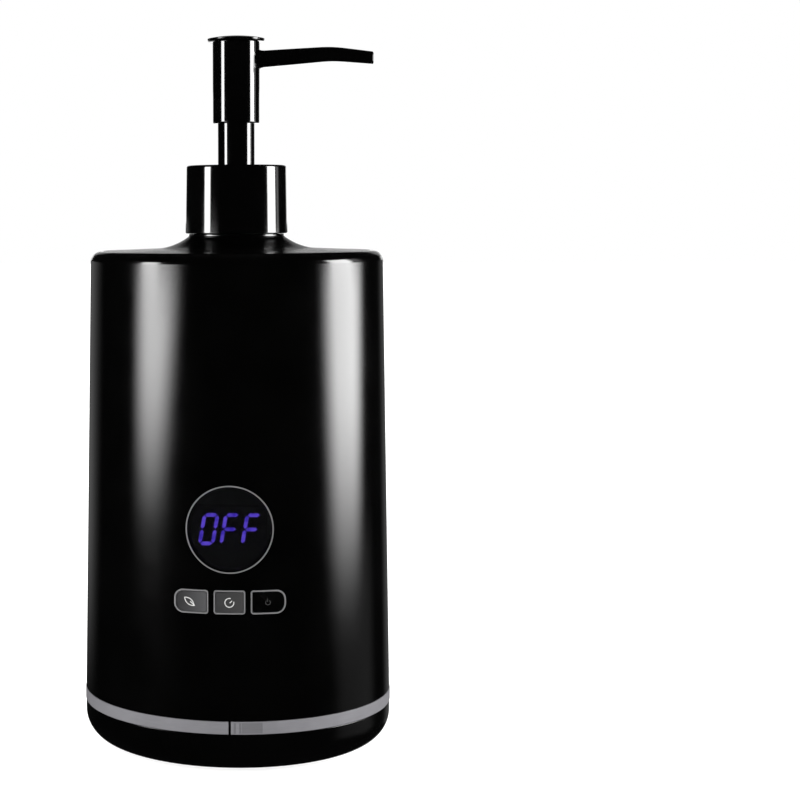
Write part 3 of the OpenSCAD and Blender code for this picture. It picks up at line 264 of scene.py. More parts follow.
def make_grain():
    made, given, result = effect("grain", (("Fine", 4000.0), ("Broad", 60.0)), ("Grain", "Patches"))
    fine = noise(made, given.outputs["Position"], given.outputs["Fine"], 2)
    broad = noise(made, given.outputs["Position"], given.outputs["Broad"], 4)
    made.links.new(spread(made, fine, 0.3, 0.7), result.inputs["Grain"])
    made.links.new(spread(made, broad, 0.36, 0.64), result.inputs["Patches"])
    return made


def make_brushing():
    """Fine lines round the Z axis."""
    made, given, result = effect("brushing", (("Lines", 9000.0), ("Runs", 7.0)), ("Streaks",))
    parts = made.nodes.new("ShaderNodeSeparateXYZ")
    made.links.new(given.outputs["Position"], parts.inputs[0])
    angle = math_node(made, "ARCTAN2", parts.outputs["Y"], parts.outputs["X"])
    along = made.nodes.new("ShaderNodeCombineXYZ")
    made.links.new(math_node(made, "MULTIPLY", angle, given.outputs["Runs"]), along.inputs["X"])
    made.links.new(math_node(made, "MULTIPLY", parts.outputs["Z"], given.outputs["Lines"]), along.inputs["Y"])
    streaks = noise(made, along.outputs[0], 1.0, 3)
    made.links.new(spread(made, streaks, 0.3, 0.7), result.inputs["Streaks"])
    return made


def make_rubbing():
    """Wear in broken patches along an edge at one height."""
    made, given, result = effect("rubbing", (("Edge", 0.1), ("Width", 0.001)), ("Rubbed",))
    parts = made.nodes.new("ShaderNodeSeparateXYZ")
    made.links.new(given.outputs["Position"], parts.inputs[0])
    away = math_node(made, "ABSOLUTE", math_node(made, "SUBTRACT", parts.outputs["Z"], given.outputs["Edge"]))
    near = math_node(
        made, "SUBTRACT", 1.0, math_node(made, "DIVIDE", away, given.outputs["Width"]), clamp=True)
    broken = spread(made, noise(made, given.outputs["Position"], 220.0, 5, 0.7), 0.42, 0.62)
    made.links.new(math_node(made, "MULTIPLY", near, broken), result.inputs["Rubbed"])
    return made


def make_painted_light_ramp():
    """Change from 0 to 1 between two places across the front, used to paint light onto a colour."""
    made, given, result = effect("painted_light_ramp", (("Start", 0.0), ("End", 0.01)), ("Faded",))
    parts = made.nodes.new("ShaderNodeSeparateXYZ")
    made.links.new(given.outputs["Position"], parts.inputs[0])
    run = math_node(made, "SUBTRACT", given.outputs["End"], given.outputs["Start"])
    along = math_node(made, "SUBTRACT", parts.outputs["X"], given.outputs["Start"])
    made.links.new(math_node(made, "DIVIDE", along, run, clamp=True), result.inputs["Faded"])
    return made


GRAIN, BRUSHING, RUBBING, PAINTED_LIGHT_RAMP = make_grain(), make_brushing(), make_rubbing(), make_painted_light_ramp()


# Finishes

def finish(name, **constants):
    """New material, its node tree, its Principled shader and the object's own coordinates."""
    material = bpy.data.materials.new(name)
    material.use_nodes = True
    tree = material.node_tree
    shader = tree.nodes["Principled BSDF"]
    for label, value in constants.items():
        shader.inputs[label.replace("_", " ")].default_value = value
    place = tree.nodes.new("ShaderNodeTexCoord").outputs["Object"]
    return material, tree, shader, place


def use(tree, group, place, **values):
    """A shared effect placed in a material with its own values."""
    node = tree.nodes.new("ShaderNodeGroup")
    node.node_tree = group
    tree.links.new(place, node.inputs["Position"])
    for label, value in values.items():
        node.inputs[label].default_value = value
    return node


def tinted(tree, factor, first, second):
    node = tree.nodes.new("ShaderNodeMix")
    node.data_type = "RGBA"
    tree.links.new(factor, node.inputs["Factor"])
    colours = [s for s in node.inputs if s.type == "RGBA"]
    for socket, colour in zip(colours, (first, second)):
        if isinstance(colour, bpy.types.NodeSocket):
            tree.links.new(colour, socket)
        else:
            socket.default_value = (*colour, 1)
    return next(s for s in node.outputs if s.type == "RGBA")


def between(tree, factor, low, high):
    node = tree.nodes.new("ShaderNodeMapRange")
    tree.links.new(factor, node.inputs["Value"])
    node.inputs["To Min"].default_value = low
    node.inputs["To Max"].default_value = high
    return node.outputs["Result"]


def bumped(tree, shader, height, depth, strength=1.0):
    node = tree.nodes.new("ShaderNodeBump")
    node.inputs["Distance"].default_value = depth
    node.inputs["Strength"].default_value = strength
    tree.links.new(height, node.inputs["Height"])
    tree.links.new(node.outputs["Normal"], shader.inputs["Normal"])


def moulded(
        name, dark, light, rough, fine=4000.0, broad=60.0, depth=0.000004, rub=None, painted_light=None, **constants):
    """Moulded or painted surface: patchy colour and roughness over a fine grain.

    It can be rubbed along an edge, and carry painted light that turns it into another colour across the
    front.
    """
    material, tree, shader, place = finish(name, **constants)
    grain = use(tree, GRAIN, place, Fine=fine, Broad=broad)
    colour = tinted(tree, grain.outputs["Patches"], dark, light)
    if rub:
        edge, width, worn = rub
        rubbed = use(tree, RUBBING, place, Edge=edge * MM, Width=width * MM)
        colour = tinted(tree, rubbed.outputs["Rubbed"], colour, worn)
    # Painted light: the colour grows lighter across the front between two places.
    if painted_light:
        start, end, last = painted_light
        faded = use(tree, PAINTED_LIGHT_RAMP, place, Start=start * MM, End=end * MM)
        colour = tinted(tree, faded.outputs["Faded"], colour, last)
    tree.links.new(colour, shader.inputs["Base Color"])
    tree.links.new(between(tree, grain.outputs["Patches"], *rough), shader.inputs["Roughness"])
    bumped(tree, shader, grain.outputs["Grain"], depth)
    return material


def brushed(name, dark, light, rough, lines=9000.0, depth=0.000003, **constants):
    """Metal with fine lines round the axis."""
    material, tree, shader, place = finish(name, **constants)
    lined = use(tree, BRUSHING, place, Lines=lines)
    grain = use(tree, GRAIN, place, Fine=2500.0, Broad=90.0)
    mixed = math_node(
        tree, "ADD", math_node(tree, "MULTIPLY", lined.outputs["Streaks"], 0.7),
        math_node(tree, "MULTIPLY", grain.outputs["Patches"], 0.3))
    tree.links.new(tinted(tree, mixed, dark, light), shader.inputs["Base Color"])
    tree.links.new(between(tree, mixed, *rough), shader.inputs["Roughness"])
    bumped(tree, shader, lined.outputs["Streaks"], depth)
    return material


def lit_segments(name):
    material, tree, shader, place = finish(name, Roughness=0.5, Emission_Strength=11.0)
    grain = use(tree, GRAIN, place, Fine=2600.0, Broad=420.0)
    shader.inputs["Base Color"].default_value = (0.02, 0.02, 0.05, 1)
    glow = tinted(tree, grain.outputs["Patches"], (0.055, 0.028, 0.46), (0.15, 0.085, 0.74))
    tree.links.new(glow, shader.inputs["Emission Color"])
    tree.links.new(between(tree, grain.outputs["Grain"], 0.4, 0.6), shader.inputs["Roughness"])
    return material


def smoked_lens(name):
    material, tree, shader, place = finish(name, Transmission_Weight=1.0, IOR=1.45)
    grain = use(tree, GRAIN, place, Fine=1500.0, Broad=130.0)
    tint = tinted(tree, grain.outputs["Patches"], (0.057, 0.057, 0.064), (0.061, 0.061, 0.068))
    tree.links.new(tint, shader.inputs["Base Color"])
    tree.links.new(between(tree, grain.outputs["Patches"], 0.13, 0.15), shader.inputs["Roughness"])
    return material


JET = (0.0002, 0.0002, 0.0002), (0.0005, 0.0005, 0.0005)
SATIN_BLACK = moulded(
    "satin_black", *JET, (0.11, 0.13), rub=(RIM_Z - 0.6, 1.2, (0.002, 0.002, 0.002)), IOR=1.65)
LID_BLACK = moulded("lid_black", *JET, (0.20, 0.23), IOR=1.45)
GLOSS_BLACK = moulded("gloss_black", *JET, (0.06, 0.10), fine=900.0, broad=45.0, depth=0.000001, IOR=1.9)
SILVER = brushed(
    "satin_silver", (0.121, 0.119, 0.127), (0.165, 0.163, 0.174), (0.46, 0.58),
    Metallic=0.1, Specular_IOR_Level=0.2)
DULL_SILVER = brushed(
    "dull_silver", (0.092, 0.091, 0.097), (0.122, 0.120, 0.128), (0.5, 0.62),
    Metallic=0.1, Specular_IOR_Level=0.2)
FRAME_SILVER = brushed("frame_silver", (0.28, 0.28, 0.285), (0.36, 0.36, 0.365), (0.26, 0.38), Metallic=0.62)
PRINT_WHITE = moulded("print_white", (0.40, 0.40, 0.39), (0.50, 0.50, 0.49), (0.4, 0.5), broad=900.0)
PRINT_GREY = moulded("print_grey", (0.022, 0.022, 0.022), (0.032, 0.032, 0.032), (0.4, 0.5), broad=900.0)
# Middle key: its grey grows lighter towards its right edge, which is painted light.
MIDDLE_KEY = moulded(
    "middle_key_grey", (0.020, 0.020, 0.021), (0.026, 0.026, 0.027), (0.34, 0.42), broad=300.0,
    painted_light=(-5.0, 5.0, (0.034, 0.033, 0.033)))
FINISHES = {
    "housing_black": SATIN_BLACK,
    "pump_black": GLOSS_BLACK,
    "trim_silver": SILVER,
    "lens_smoke": smoked_lens("smoked_lens"),
    "digit_violet": lit_segments("lit_segments"),
    # Left key: dark grey growing lighter towards its right end, which is painted light.
    "key_grey": moulded(
        "key_grey", (0.010, 0.010, 0.011), (0.014, 0.014, 0.015), (0.34, 0.42), broad=300.0,
        painted_light=(-17.0, -8.0, (0.055, 0.055, 0.057))),
    "key_black": moulded(
        "key_black", (0.0003, 0.0003, 0.0003), (0.0008, 0.0008, 0.0008), (0.22, 0.28), broad=300.0),
    "foot_rubber": moulded(
        "foot_rubber", (0.012, 0.012, 0.012), (0.022, 0.022, 0.021), (0.7, 0.85), fine=2500.0, depth=0.00002),
    "silicone": moulded("silicone", (0.50, 0.50, 0.47), (0.58, 0.58, 0.55), (0.45, 0.6), broad=140.0),
    "screw_steel": brushed(
        "screw_steel", (0.42, 0.42, 0.43), (0.58, 0.58, 0.59), (0.22, 0.38), Metallic=1.0),
    "cup_aluminium": brushed(
        "cup_aluminium", (0.62, 0.63, 0.64), (0.76, 0.77, 0.78), (0.25, 0.42), Metallic=1.0),
    "heater_film": moulded("heater_film", (0.42, 0.15, 0.03), (0.55, 0.22, 0.05), (0.25, 0.4), broad=150.0),
    "insulation_foam": moulded(
        "insulation_foam", (0.62, 0.60, 0.54), (0.74, 0.72, 0.66), (0.85, 0.95), fine=1400.0, depth=0.0001),
    "board_green": moulded(
        "board_green", (0.012, 0.09, 0.035), (0.022, 0.14, 0.055), (0.3, 0.45), broad=240.0),
    "component_black": moulded(
        "component_black", (0.012, 0.012, 0.012), (0.022, 0.022, 0.022), (0.45, 0.6), broad=200.0),
    "relay_blue": moulded("relay_blue", (0.02, 0.08, 0.32), (0.03, 0.11, 0.40), (0.3, 0.45), broad=260.0),
    "lead_red": moulded("lead_red", (0.34, 0.015, 0.015), (0.45, 0.03, 0.03), (0.4, 0.55), broad=260.0),
    "lead_black": moulded("lead_black", (0.010, 0.010, 0.010), (0.02, 0.02, 0.02), (0.4, 0.55), broad=260.0),
    "lead_grey": moulded("lead_grey", (0.30, 0.30, 0.30), (0.40, 0.40, 0.40), (0.4, 0.55), broad=260.0),
    "bottle_white": moulded(
        "bottle_white", (0.265, 0.27, 0.26), (0.285, 0.29, 0.28), (0.32, 0.45), fine=1800.0, broad=40.0,
        Subsurface_Weight=0.25, Subsurface_Scale=0.002),
    "pump_white": moulded("pump_white", (0.72, 0.72, 0.70), (0.80, 0.80, 0.78), (0.35, 0.5), broad=180.0),
}

OWN_FINISH = {"key_middle": MIDDLE_KEY, "display_ring": FRAME_SILVER}
OWN_FINISH.update((f"key_frame_{side}", FRAME_SILVER) for side in ("left", "middle", "right"))
for entry in frame["record"]["subparts"]:
    shown = frame["nodes"][entry["node"]].data
    shown.materials.clear()
    shown.materials.append(OWN_FINISH.get(entry["node"], FINISHES[entry["material_slot"]]))


# How pieces are made

class Pen:
    """Draws a profile in radius and height, in millimetres, from which a piece is turned about Z."""

    def __init__(self, r, z):
        self.bm = bmesh.new()
        self.start = self.tip = self.bm.verts.new((r * MM, 0, z * MM))

    def line(self, *points):
        for r, z in points:
            self.tip = bmesh.ops.extrude_vert_indiv(self.bm, verts=[self.tip])["verts"][0]
            self.tip.co = (r * MM, 0, z * MM)
        return self

    def arc(self, r, z, turn, steps=12):
        """Turns about a centre by degrees, anticlockwise with radius to the right and height upwards."""
        made = bmesh.ops.spin(
            self.bm, geom=[self.tip], cent=(r * MM, 0, z * MM), axis=(0, 1, 0),
            angle=-math.radians(turn), steps=steps)
        self.tip = next(g for g in made["geom_last"] if isinstance(g, bmesh.types.BMVert))
        return self

    def close(self):
        bmesh.ops.contextual_create(self.bm, geom=[self.tip, self.start])
        return self

    def turned(self, steps=STEPS):
        bm = self.bm
        bmesh.ops.spin(
            bm, geom=bm.verts[:] + bm.edges[:], cent=(0, 0, 0), axis=(0, 0, 1),
            angle=2 * math.pi, steps=steps, use_merge=True)
        bmesh.ops.remove_doubles(bm, verts=bm.verts, dist=1e-7)
        bmesh.ops.recalc_face_normals(bm, faces=bm.faces)
        return bm


def ease(bm, corners, segments=3):
    """Rounds the edge rings at the given radius and height by a width."""
    for r, z, width in corners:
        ring = [
            e for e in bm.edges
            if all(
                abs(math.hypot(v.co.x, v.co.y) - r * MM) < NEAR and abs(v.co.z - z * MM) < NEAR
                for v in e.verts)]
        bmesh.ops.bevel(
            bm, geom=ring, offset=width * MM, offset_type="OFFSET", affect="EDGES",
            segments=segments, profile=0.5, material=-1)
    return bm


def prism(bm, face, depth):
    """Extrudes a face along a vector in metres into a closed solid."""
    made = bmesh.ops.extrude_face_region(bm, geom=[face])["geom"]
    bmesh.ops.translate(bm, vec=depth, verts=[g for g in made if isinstance(g, bmesh.types.BMVert)])


def rod(bm, r, low, high, turn=Matrix(), steps=48):
    """Closed round rod along Z between two heights in millimetres, then turned and moved by a matrix."""
    place = turn @ Matrix.Translation((0, 0, low * MM))
    disc = bmesh.ops.create_circle(bm, cap_ends=True, segments=steps, radius=r * MM, matrix=place)["verts"]
    prism(bm, disc[0].link_faces[0], turn.to_3x3() @ Vector((0, 0, (high - low) * MM)))


def combined(bm, other, how):
    """The two closed solids after a boolean; both are used up."""
    pair = []
    for solid in (bm, other):
        bmesh.ops.recalc_face_normals(solid, faces=solid.faces)
        mesh = bpy.data.meshes.new("blank")
        solid.to_mesh(mesh)
        solid.free()
        pair.append(bpy.data.objects.new("blank", mesh))
        scene.collection.objects.link(pair[-1])
    tool = pair[0].modifiers.new("combine", "BOOLEAN")
    tool.operation, tool.object, tool.solver = how, pair[1], "EXACT"
    shaped = bpy.data.meshes.new_from_object(pair[0].evaluated_get(bpy.context.evaluated_depsgraph_get()))
    made = bmesh.new()
    made.from_mesh(shaped)
    for blank in pair:
        bpy.data.meshes.remove(blank.data)
    bpy.data.meshes.remove(shaped)
    return made


def piece(name, bm, material, slot, body, *nodes, crease=38):
    """Finished piece on its body: smooth faces, creased where they meet at more than an angle."""
    for face in bm.faces:
        face.smooth = True
    for edge in bm.edges:
        edge.smooth = edge.calc_face_angle(0.0) < math.radians(crease)
    mesh = bpy.data.meshes.new(name)
    bm.to_mesh(mesh)
    bm.free()
    mesh.materials.append(material)
    made = bpy.data.objects.new(name, mesh)
    scene.collection.objects.link(made)
    made.modifiers.new("even_shading", "WEIGHTED_NORMAL").keep_sharp = True
    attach(made, body)
    if nodes:
        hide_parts(*nodes)
    return made


# Housing, with its openings

FROM_FRONT = Matrix.Rotation(math.pi / 2, 4, "X")  # local Z points out of the front


def key_opening(bm, centre, width, r_left, r_right):
    """Prism of a key's outline, grown by the gap round the key, through the wall."""
    w, h = width + 2 * PUSH_GAP, KEY_H + 2 * PUSH_GAP
    middle = Vector((centre * MM, -CUT_NEAR * MM, KEY_Z * MM))
    place = Matrix.Translation(middle) @ FROM_FRONT @ Matrix.Diagonal((w * MM, h * MM, 1, 1))
    corners = bmesh.ops.create_grid(bm, x_segments=1, y_segments=1, size=0.5, matrix=place)["verts"]
    for side, r in ((-1, r_left + PUSH_GAP), (1, r_right + PUSH_GAP)):
        ends = [v for v in corners if v.is_valid and (v.co.x - centre * MM) * side > 0]
        bmesh.ops.bevel(
            bm, geom=ends, offset=r * MM, offset_type="OFFSET", affect="VERTICES",
            segments=8, profile=0.5, material=-1)
    flat = min(bm.faces, key=lambda f: (f.calc_center_bounds() - middle).length)
    prism(bm, flat, Vector((0, -(CUT_FAR - CUT_NEAR) * MM, 0)))


def make_housing():
    inner_low, inner_high = BODY_LOW_R - SHELL_WALL, shell_r(LEDGE_UNDER_Z) - SHELL_WALL
    bm = (
        Pen(inner_low, SHELL_Z).line((BODY_LOW_R, SHELL_Z), (BODY_HIGH_R, SHOULDER_Z))
        .arc(BODY_HIGH_R - SHOULDER_R, SHOULDER_Z, 90, 16)
        .line((RIM_R, RIM_Z), (RIM_R, LEDGE_Z), (MOUTH_R, LEDGE_Z), (MOUTH_R, LEDGE_UNDER_Z),
              (inner_high, LEDGE_UNDER_Z))
        .close().turned())
    ease(bm, ((BODY_LOW_R, SHELL_Z, 0.2), (RIM_R, RIM_Z, 0.2), (MOUTH_R, LEDGE_Z, 0.3)))
    cuts = bmesh.new()
    place = Matrix.Translation((0, 0, DISPLAY_Z * MM)) @ FROM_FRONT
    rod(cuts, WINDOW_R, CUT_NEAR, CUT_FAR, place, DISC_STEPS)
    for _, *outline in KEYS:
        key_opening(cuts, *outline)
    place = Matrix.Translation((0, CUT_NEAR * MM, INLET_Z * MM)) @ Matrix.Rotation(-math.pi / 2, 4, "X")
    bezel = bmesh.ops.create_grid(
        cuts, x_segments=1, y_segments=1, size=(BEZEL_W / 2 + PUSH_GAP) * MM, matrix=place)["verts"]
    bmesh.ops.bevel(
        cuts, geom=bezel, offset=(BEZEL_CORNER_R + PUSH_GAP) * MM, offset_type="OFFSET", affect="VERTICES",
        segments=8, profile=0.5, material=-1)
    back = next(f for f in cuts.faces if all(abs(v.co.y - CUT_NEAR * MM) < NEAR for v in f.verts))
    prism(cuts, back, Vector((0, (CUT_FAR - CUT_NEAR) * MM, 0)))
    bm = combined(bm, cuts, "DIFFERENCE")
    return piece("housing", bm, SATIN_BLACK, "housing_black", "warmer", "housing_shell")


def make_lens():
    low, high = DISPLAY_Z - WINDOW_R - LENS_MARGIN, DISPLAY_Z + WINDOW_R + LENS_MARGIN
    bm = (
        Pen(shell_r(low) - LENS_T, low).line((shell_r(low) - PUSH_GAP, low), (shell_r(high) - PUSH_GAP, high))
        .line((shell_r(high) - LENS_T, high)).close().turned(2 * STEPS))
    disc = bmesh.new()
    place = Matrix.Translation((0, 0, DISPLAY_Z * MM)) @ FROM_FRONT
    rod(disc, LENS_R, CUT_NEAR, CUT_FAR, place, DISC_STEPS)
    bm = combined(bm, disc, "INTERSECT")
    return piece("lens", bm, FINISHES["lens_smoke"], "lens_smoke", "warmer", "display_lens")


def make_icon(name, body, centre, strokes, material):
    """Raised strokes on a key's face, from paths drawn about its middle."""
    bm = bmesh.new()
    for path in strokes:
        mesh = bpy.data.meshes.new("stroke")
        path.bm.to_mesh(mesh)
        path.bm.free()
        bm.from_mesh(mesh)
        bpy.data.meshes.remove(mesh)
    bmesh.ops.remove_doubles(bm, verts=bm.verts, dist=1e-6)
    walls = bmesh.ops.extrude_edge_only(bm, edges=bm.edges[:])["geom"]
    bmesh.ops.translate(
        bm, vec=(0, -ICON_STAND * 2 * MM, 0), verts=[g for g in walls if isinstance(g, bmesh.types.BMVert)])
    bmesh.ops.recalc_face_normals(bm, faces=bm.faces)
    bmesh.ops.solidify(bm, geom=bm.faces[:], thickness=ICON_LINE * MM)
    for vert in bm.verts:
        x, z = vert.co.x + centre * MM, vert.co.z + KEY_Z * MM
        face_r = shell_r(z / MM) * MM + KEY_STAND * MM
        vert.co = (x, vert.co.y + ICON_STAND * MM - math.sqrt(face_r ** 2 - x ** 2), z)
    bmesh.ops.recalc_face_normals(bm, faces=bm.faces)
    return piece(name, bm, material, "trim_silver", body)


make_housing()
make_lens()
make_icon("leaf_icon", "left_key", KEYS[0][1] - 0.6, (
    Pen(-1.6, 1.3).arc(-1.07, -1.42, -100.5).arc(1.17, 1.32, -100.5).close(),
    Pen(1.7, -1.4).line((0.2, -0.1))), PRINT_WHITE)
make_icon("timer_icon", "middle_key", KEYS[1][1], (
    Pen(0.4, 1.45).arc(0, -0.05, 300, 24), Pen(0, -0.05).line((0.75, 0.7))), PRINT_WHITE)
make_icon("power_icon", "right_key", KEYS[2][1] - 0.1, (
    Pen(-0.55, 0.6).arc(0, -0.1, 285, 20), Pen(0, 1.1).line((0, 0.1))), PRINT_GREY)


# Base, feet and trim ring

def round_the_axis(bm, count):
    """Repeats all that bm holds round the axis."""
    bmesh.ops.spin(
        bm, geom=bm.verts[:] + bm.edges[:] + bm.faces[:], cent=(0, 0, 0), axis=(0, 0, 1),
        angle=2 * math.pi * (count - 1) / count, steps=count - 1, use_duplicate=True)


def make_base():
    flat_r = BODY_LOW_R - BASE_CORNER_R
    floor_z, inner_r, corner_z = BASE_Z + BASE_WALL, SPIGOT_R - BASE_WALL, BASE_Z + BASE_CORNER_R
    bm = (
        Pen(0, BASE_Z).line((flat_r, BASE_Z)).arc(flat_r, corner_z, 90, 24).line((BODY_LOW_R, RING_Z))
        .line((SPIGOT_R, RING_Z), (SPIGOT_R, SPIGOT_TOP_Z), (inner_r, SPIGOT_TOP_Z), (inner_r, corner_z))
        .arc(inner_r - BASE_CORNER_R + BASE_WALL, corner_z, -90, 16).line((0, floor_z)).turned())
    ease(bm, ((BODY_LOW_R, RING_Z, 0.2),))
    cuts = bmesh.new()
    turn = Matrix.Rotation(math.pi / 4, 4, "Z") @ Matrix.Translation((SCREW_CIRCLE_R * MM, 0, 0))
    rod(cuts, SCREW_POCKET_R, CUT_UNDER_Z, SCREW_POCKET_Z, turn)
    place = Matrix.Translation((FOOT_CIRCLE_R * MM, 0, 0))
    rod(cuts, FOOT_R + PUSH_GAP, CUT_UNDER_Z, FOOT_T, place, 64)
    round_the_axis(cuts, 4)
    bm = combined(bm, cuts, "DIFFERENCE")
    return piece("base", bm, SATIN_BLACK, "housing_black", "warmer", "base_tub")


def make_feet():
    bm = (
        Pen(0, FOOT_DISH).line((FOOT_R - FOOT_LIP - FOOT_SLOPE, FOOT_DISH), (FOOT_R - FOOT_LIP, 0))
        .line((FOOT_R, 0), (FOOT_R, FOOT_T), (0, FOOT_T)).turned(FINE_STEPS))
    ease(bm, ((FOOT_R, 0, 0.4),))
    bmesh.ops.translate(bm, vec=(FOOT_CIRCLE_R * MM, 0, 0), verts=bm.verts)
    round_the_axis(bm, 4)
    return piece("feet", bm, FINISHES["foot_rubber"], "foot_rubber", "warmer", "base_feet")


def make_ring():
    """Trim ring, open at a butt joint in front, with the low tongue of its joint beside the gap."""
    gap = RING_GAP / RING_R
    pen = Pen(RING_IN_R, RING_Z)
    pen.line((RING_R, RING_Z), (RING_R, SHELL_Z), (RING_IN_R, SHELL_Z))
    section = bmesh.ops.contextual_create(pen.bm, geom=pen.bm.verts[:])["faces"][0]
    bm = pen.bm
    start = -math.pi / 2 + gap / 2
    bmesh.ops.rotate(bm, cent=(0, 0, 0), matrix=Matrix.Rotation(start, 3, "Z"), verts=bm.verts)
    bmesh.ops.spin(
        bm, geom=bm.verts[:] + bm.edges[:] + [section], cent=(0, 0, 0), axis=(0, 0, 1),
        angle=2 * math.pi - gap, steps=STEPS)
    bmesh.ops.recalc_face_normals(bm, faces=bm.faces)
    edges = [
        e for e in bm.edges
        if all(abs(math.hypot(v.co.x, v.co.y) - RING_R * MM) < NEAR for v in e.verts)
        and abs(e.verts[0].co.z - e.verts[1].co.z) < NEAR]
    bmesh.ops.bevel(
        bm, geom=edges, offset=RING_CHAMFER * MM, offset_type="OFFSET", affect="EDGES",
        segments=2, profile=0.5, material=-1)

    def outer_faces(near, far):
        """Outer faces between two distances along the ring from its joint."""
        found = []
        for face in bm.faces:
            c = face.calc_center_median()
            along = (math.atan2(c.y, c.x) - start) * RING_R
            outside = math.hypot(c.x, c.y) > (RING_R - 0.05) * MM and abs(face.normal.z) < 0.1
            if outside and near < along < far:
                found.append(face)
        return found

    tongue = outer_faces(*RING_TONGUE)
    bmesh.ops.inset_region(
        bm, faces=tongue, thickness=TONGUE_EDGE * MM, depth=-RING_SINK * MM, use_even_offset=True)
    ribs = [face for stretch in RING_RIBS for face in outer_faces(*stretch)]
    bmesh.ops.inset_individual(bm, faces=ribs, thickness=RIB_EDGE * MM, depth=-RING_SINK * MM)
    for face in tongue + ribs:
        face.material_index = 1
    made = piece("ring", bm, SILVER, "trim_silver", "warmer", "trim_ring", crease=25)
    made.data.materials.append(DULL_SILVER)
    return made


make_base()
make_feet()
make_ring()


# Lid, drip ring and pump

def make_lid():
    flare_z = LID_TOP_Z + FLARE_R
    flare = math.degrees(math.asin((FLARE_START_R - LID_NECK_R) / FLARE_R))
    ceiling = LID_TOP_Z - LID_T
    bm = (
        Pen(LID_BORE_R, LID_NECK_Z).line((LID_BORE_R, LID_TUBE_Z), (LID_NECK_R, LID_TUBE_Z))
        .line((LID_NECK_R, ceiling), (SKIRT_R - SKIRT_T, ceiling), (SKIRT_R - SKIRT_T, SKIRT_Z))
        .line((SKIRT_R, SKIRT_Z), (SKIRT_R, LID_UNDER_Z), (LID_R, LID_UNDER_Z), (LID_R, RIM_Z))
        .line((FLARE_START_R, LID_TOP_Z)).arc(FLARE_START_R, flare_z, -flare, 16)
        .line((LID_NECK_R, LID_NECK_Z)).close().turned())
    ease(bm, ((LID_R, RIM_Z, 0.6), (LID_NECK_R, LID_NECK_Z, 0.15), (LID_R, LID_UNDER_Z, 0.3)))
    return piece("lid", bm, LID_BLACK, "housing_black", "bottle", "top_lid")


def make_drip_ring():
    bm = (
        Pen(DRIP_BORE_R, DRIP_LOW_Z).line((DRIP_SLEEVE_R, DRIP_LOW_Z), (DRIP_SLEEVE_R, LID_NECK_Z))
        .line((DRIP_R, LID_NECK_Z), (DRIP_R, DRIP_TOP_Z), (DRIP_BORE_R, DRIP_TOP_Z))
        .close().turned(FINE_STEPS))
    ease(bm, ((DRIP_R, DRIP_TOP_Z, 0.25), (DRIP_R, LID_NECK_Z, 0.15)))
    return piece("drip_ring", bm, GLOSS_BLACK, "pump_black", "bottle", "drip_seal")


def make_collar():
    top_under = COLLAR_TOP_Z - COLLAR_TOP_T
    bm = (
        Pen(COLLAR_BORE_R, COLLAR_Z).line((COLLAR_LOW_R, COLLAR_Z), (COLLAR_HIGH_R, COLLAR_TOP_Z))
        .line((STEM_HOLE_R, COLLAR_TOP_Z), (STEM_HOLE_R, top_under), (COLLAR_BORE_R, top_under))
        .close().turned(STEPS))
    ease(bm, (
        (COLLAR_LOW_R, COLLAR_Z, 0.4), (COLLAR_HIGH_R, COLLAR_TOP_Z, 0.8), (STEM_HOLE_R, COLLAR_TOP_Z, 0.3)))
    return piece("collar", bm, GLOSS_BLACK, "pump_black", "collar", "pump_collar")


def make_stem():
    low, high = (corner.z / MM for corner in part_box("pump_stem"))
    bm = (
        Pen(STEM_R - STEM_WALL, low).line((STEM_R, low), (STEM_R, high), (STEM_R - STEM_WALL, high))
        .close().turned(FINE_STEPS))
    return piece("stem", bm, GLOSS_BLACK, "pump_black", "plunger", "pump_stem")


def make_spring():
    """Return spring, wound from a round section. The real spring shortens as the pump is pressed; this mesh
    keeps one length.
    """
    low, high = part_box("return_spring")
    wire_r = SPRING_WIRE_R * MM
    bm = bmesh.new()
    place = Matrix.Translation((high.x - wire_r, 0, low.z + wire_r)) @ FROM_FRONT
    bmesh.ops.create_circle(bm, cap_ends=True, segments=WIRE_SIDES, radius=wire_r, matrix=place)
    steps = TURN_STEPS * SPRING_TURNS
    climb = (high.z - low.z - 2 * wire_r) / steps
    bmesh.ops.spin(
        bm, geom=bm.verts[:] + bm.edges[:] + bm.faces[:], cent=(0, 0, 0), axis=(0, 0, 1), dvec=(0, 0, climb),
        angle=2 * math.pi * SPRING_TURNS, steps=steps)
    bmesh.ops.recalc_face_normals(bm, faces=bm.faces)
    made = piece("spring", bm, FINISHES["screw_steel"], "screw_steel", "pump", "return_spring")
    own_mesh(made)
    return made


def spout_centre(x):
    """Height of the spout's centre line, which climbs to the bend and then falls."""
    up, down = SPOUT_RISE / (SPOUT_BEND_X - SPOUT_ROOT_X), SPOUT_FALL / (SPOUT_TIP_X - SPOUT_BEND_X)
    away = x - SPOUT_BEND_X
    slope = up if away < 0 else -down
    rounding = (up + down) * max(SPOUT_EASE - abs(away), 0) ** 2 / (4 * SPOUT_EASE)
    return SPOUT_Z + SPOUT_RISE + slope * away - rounding


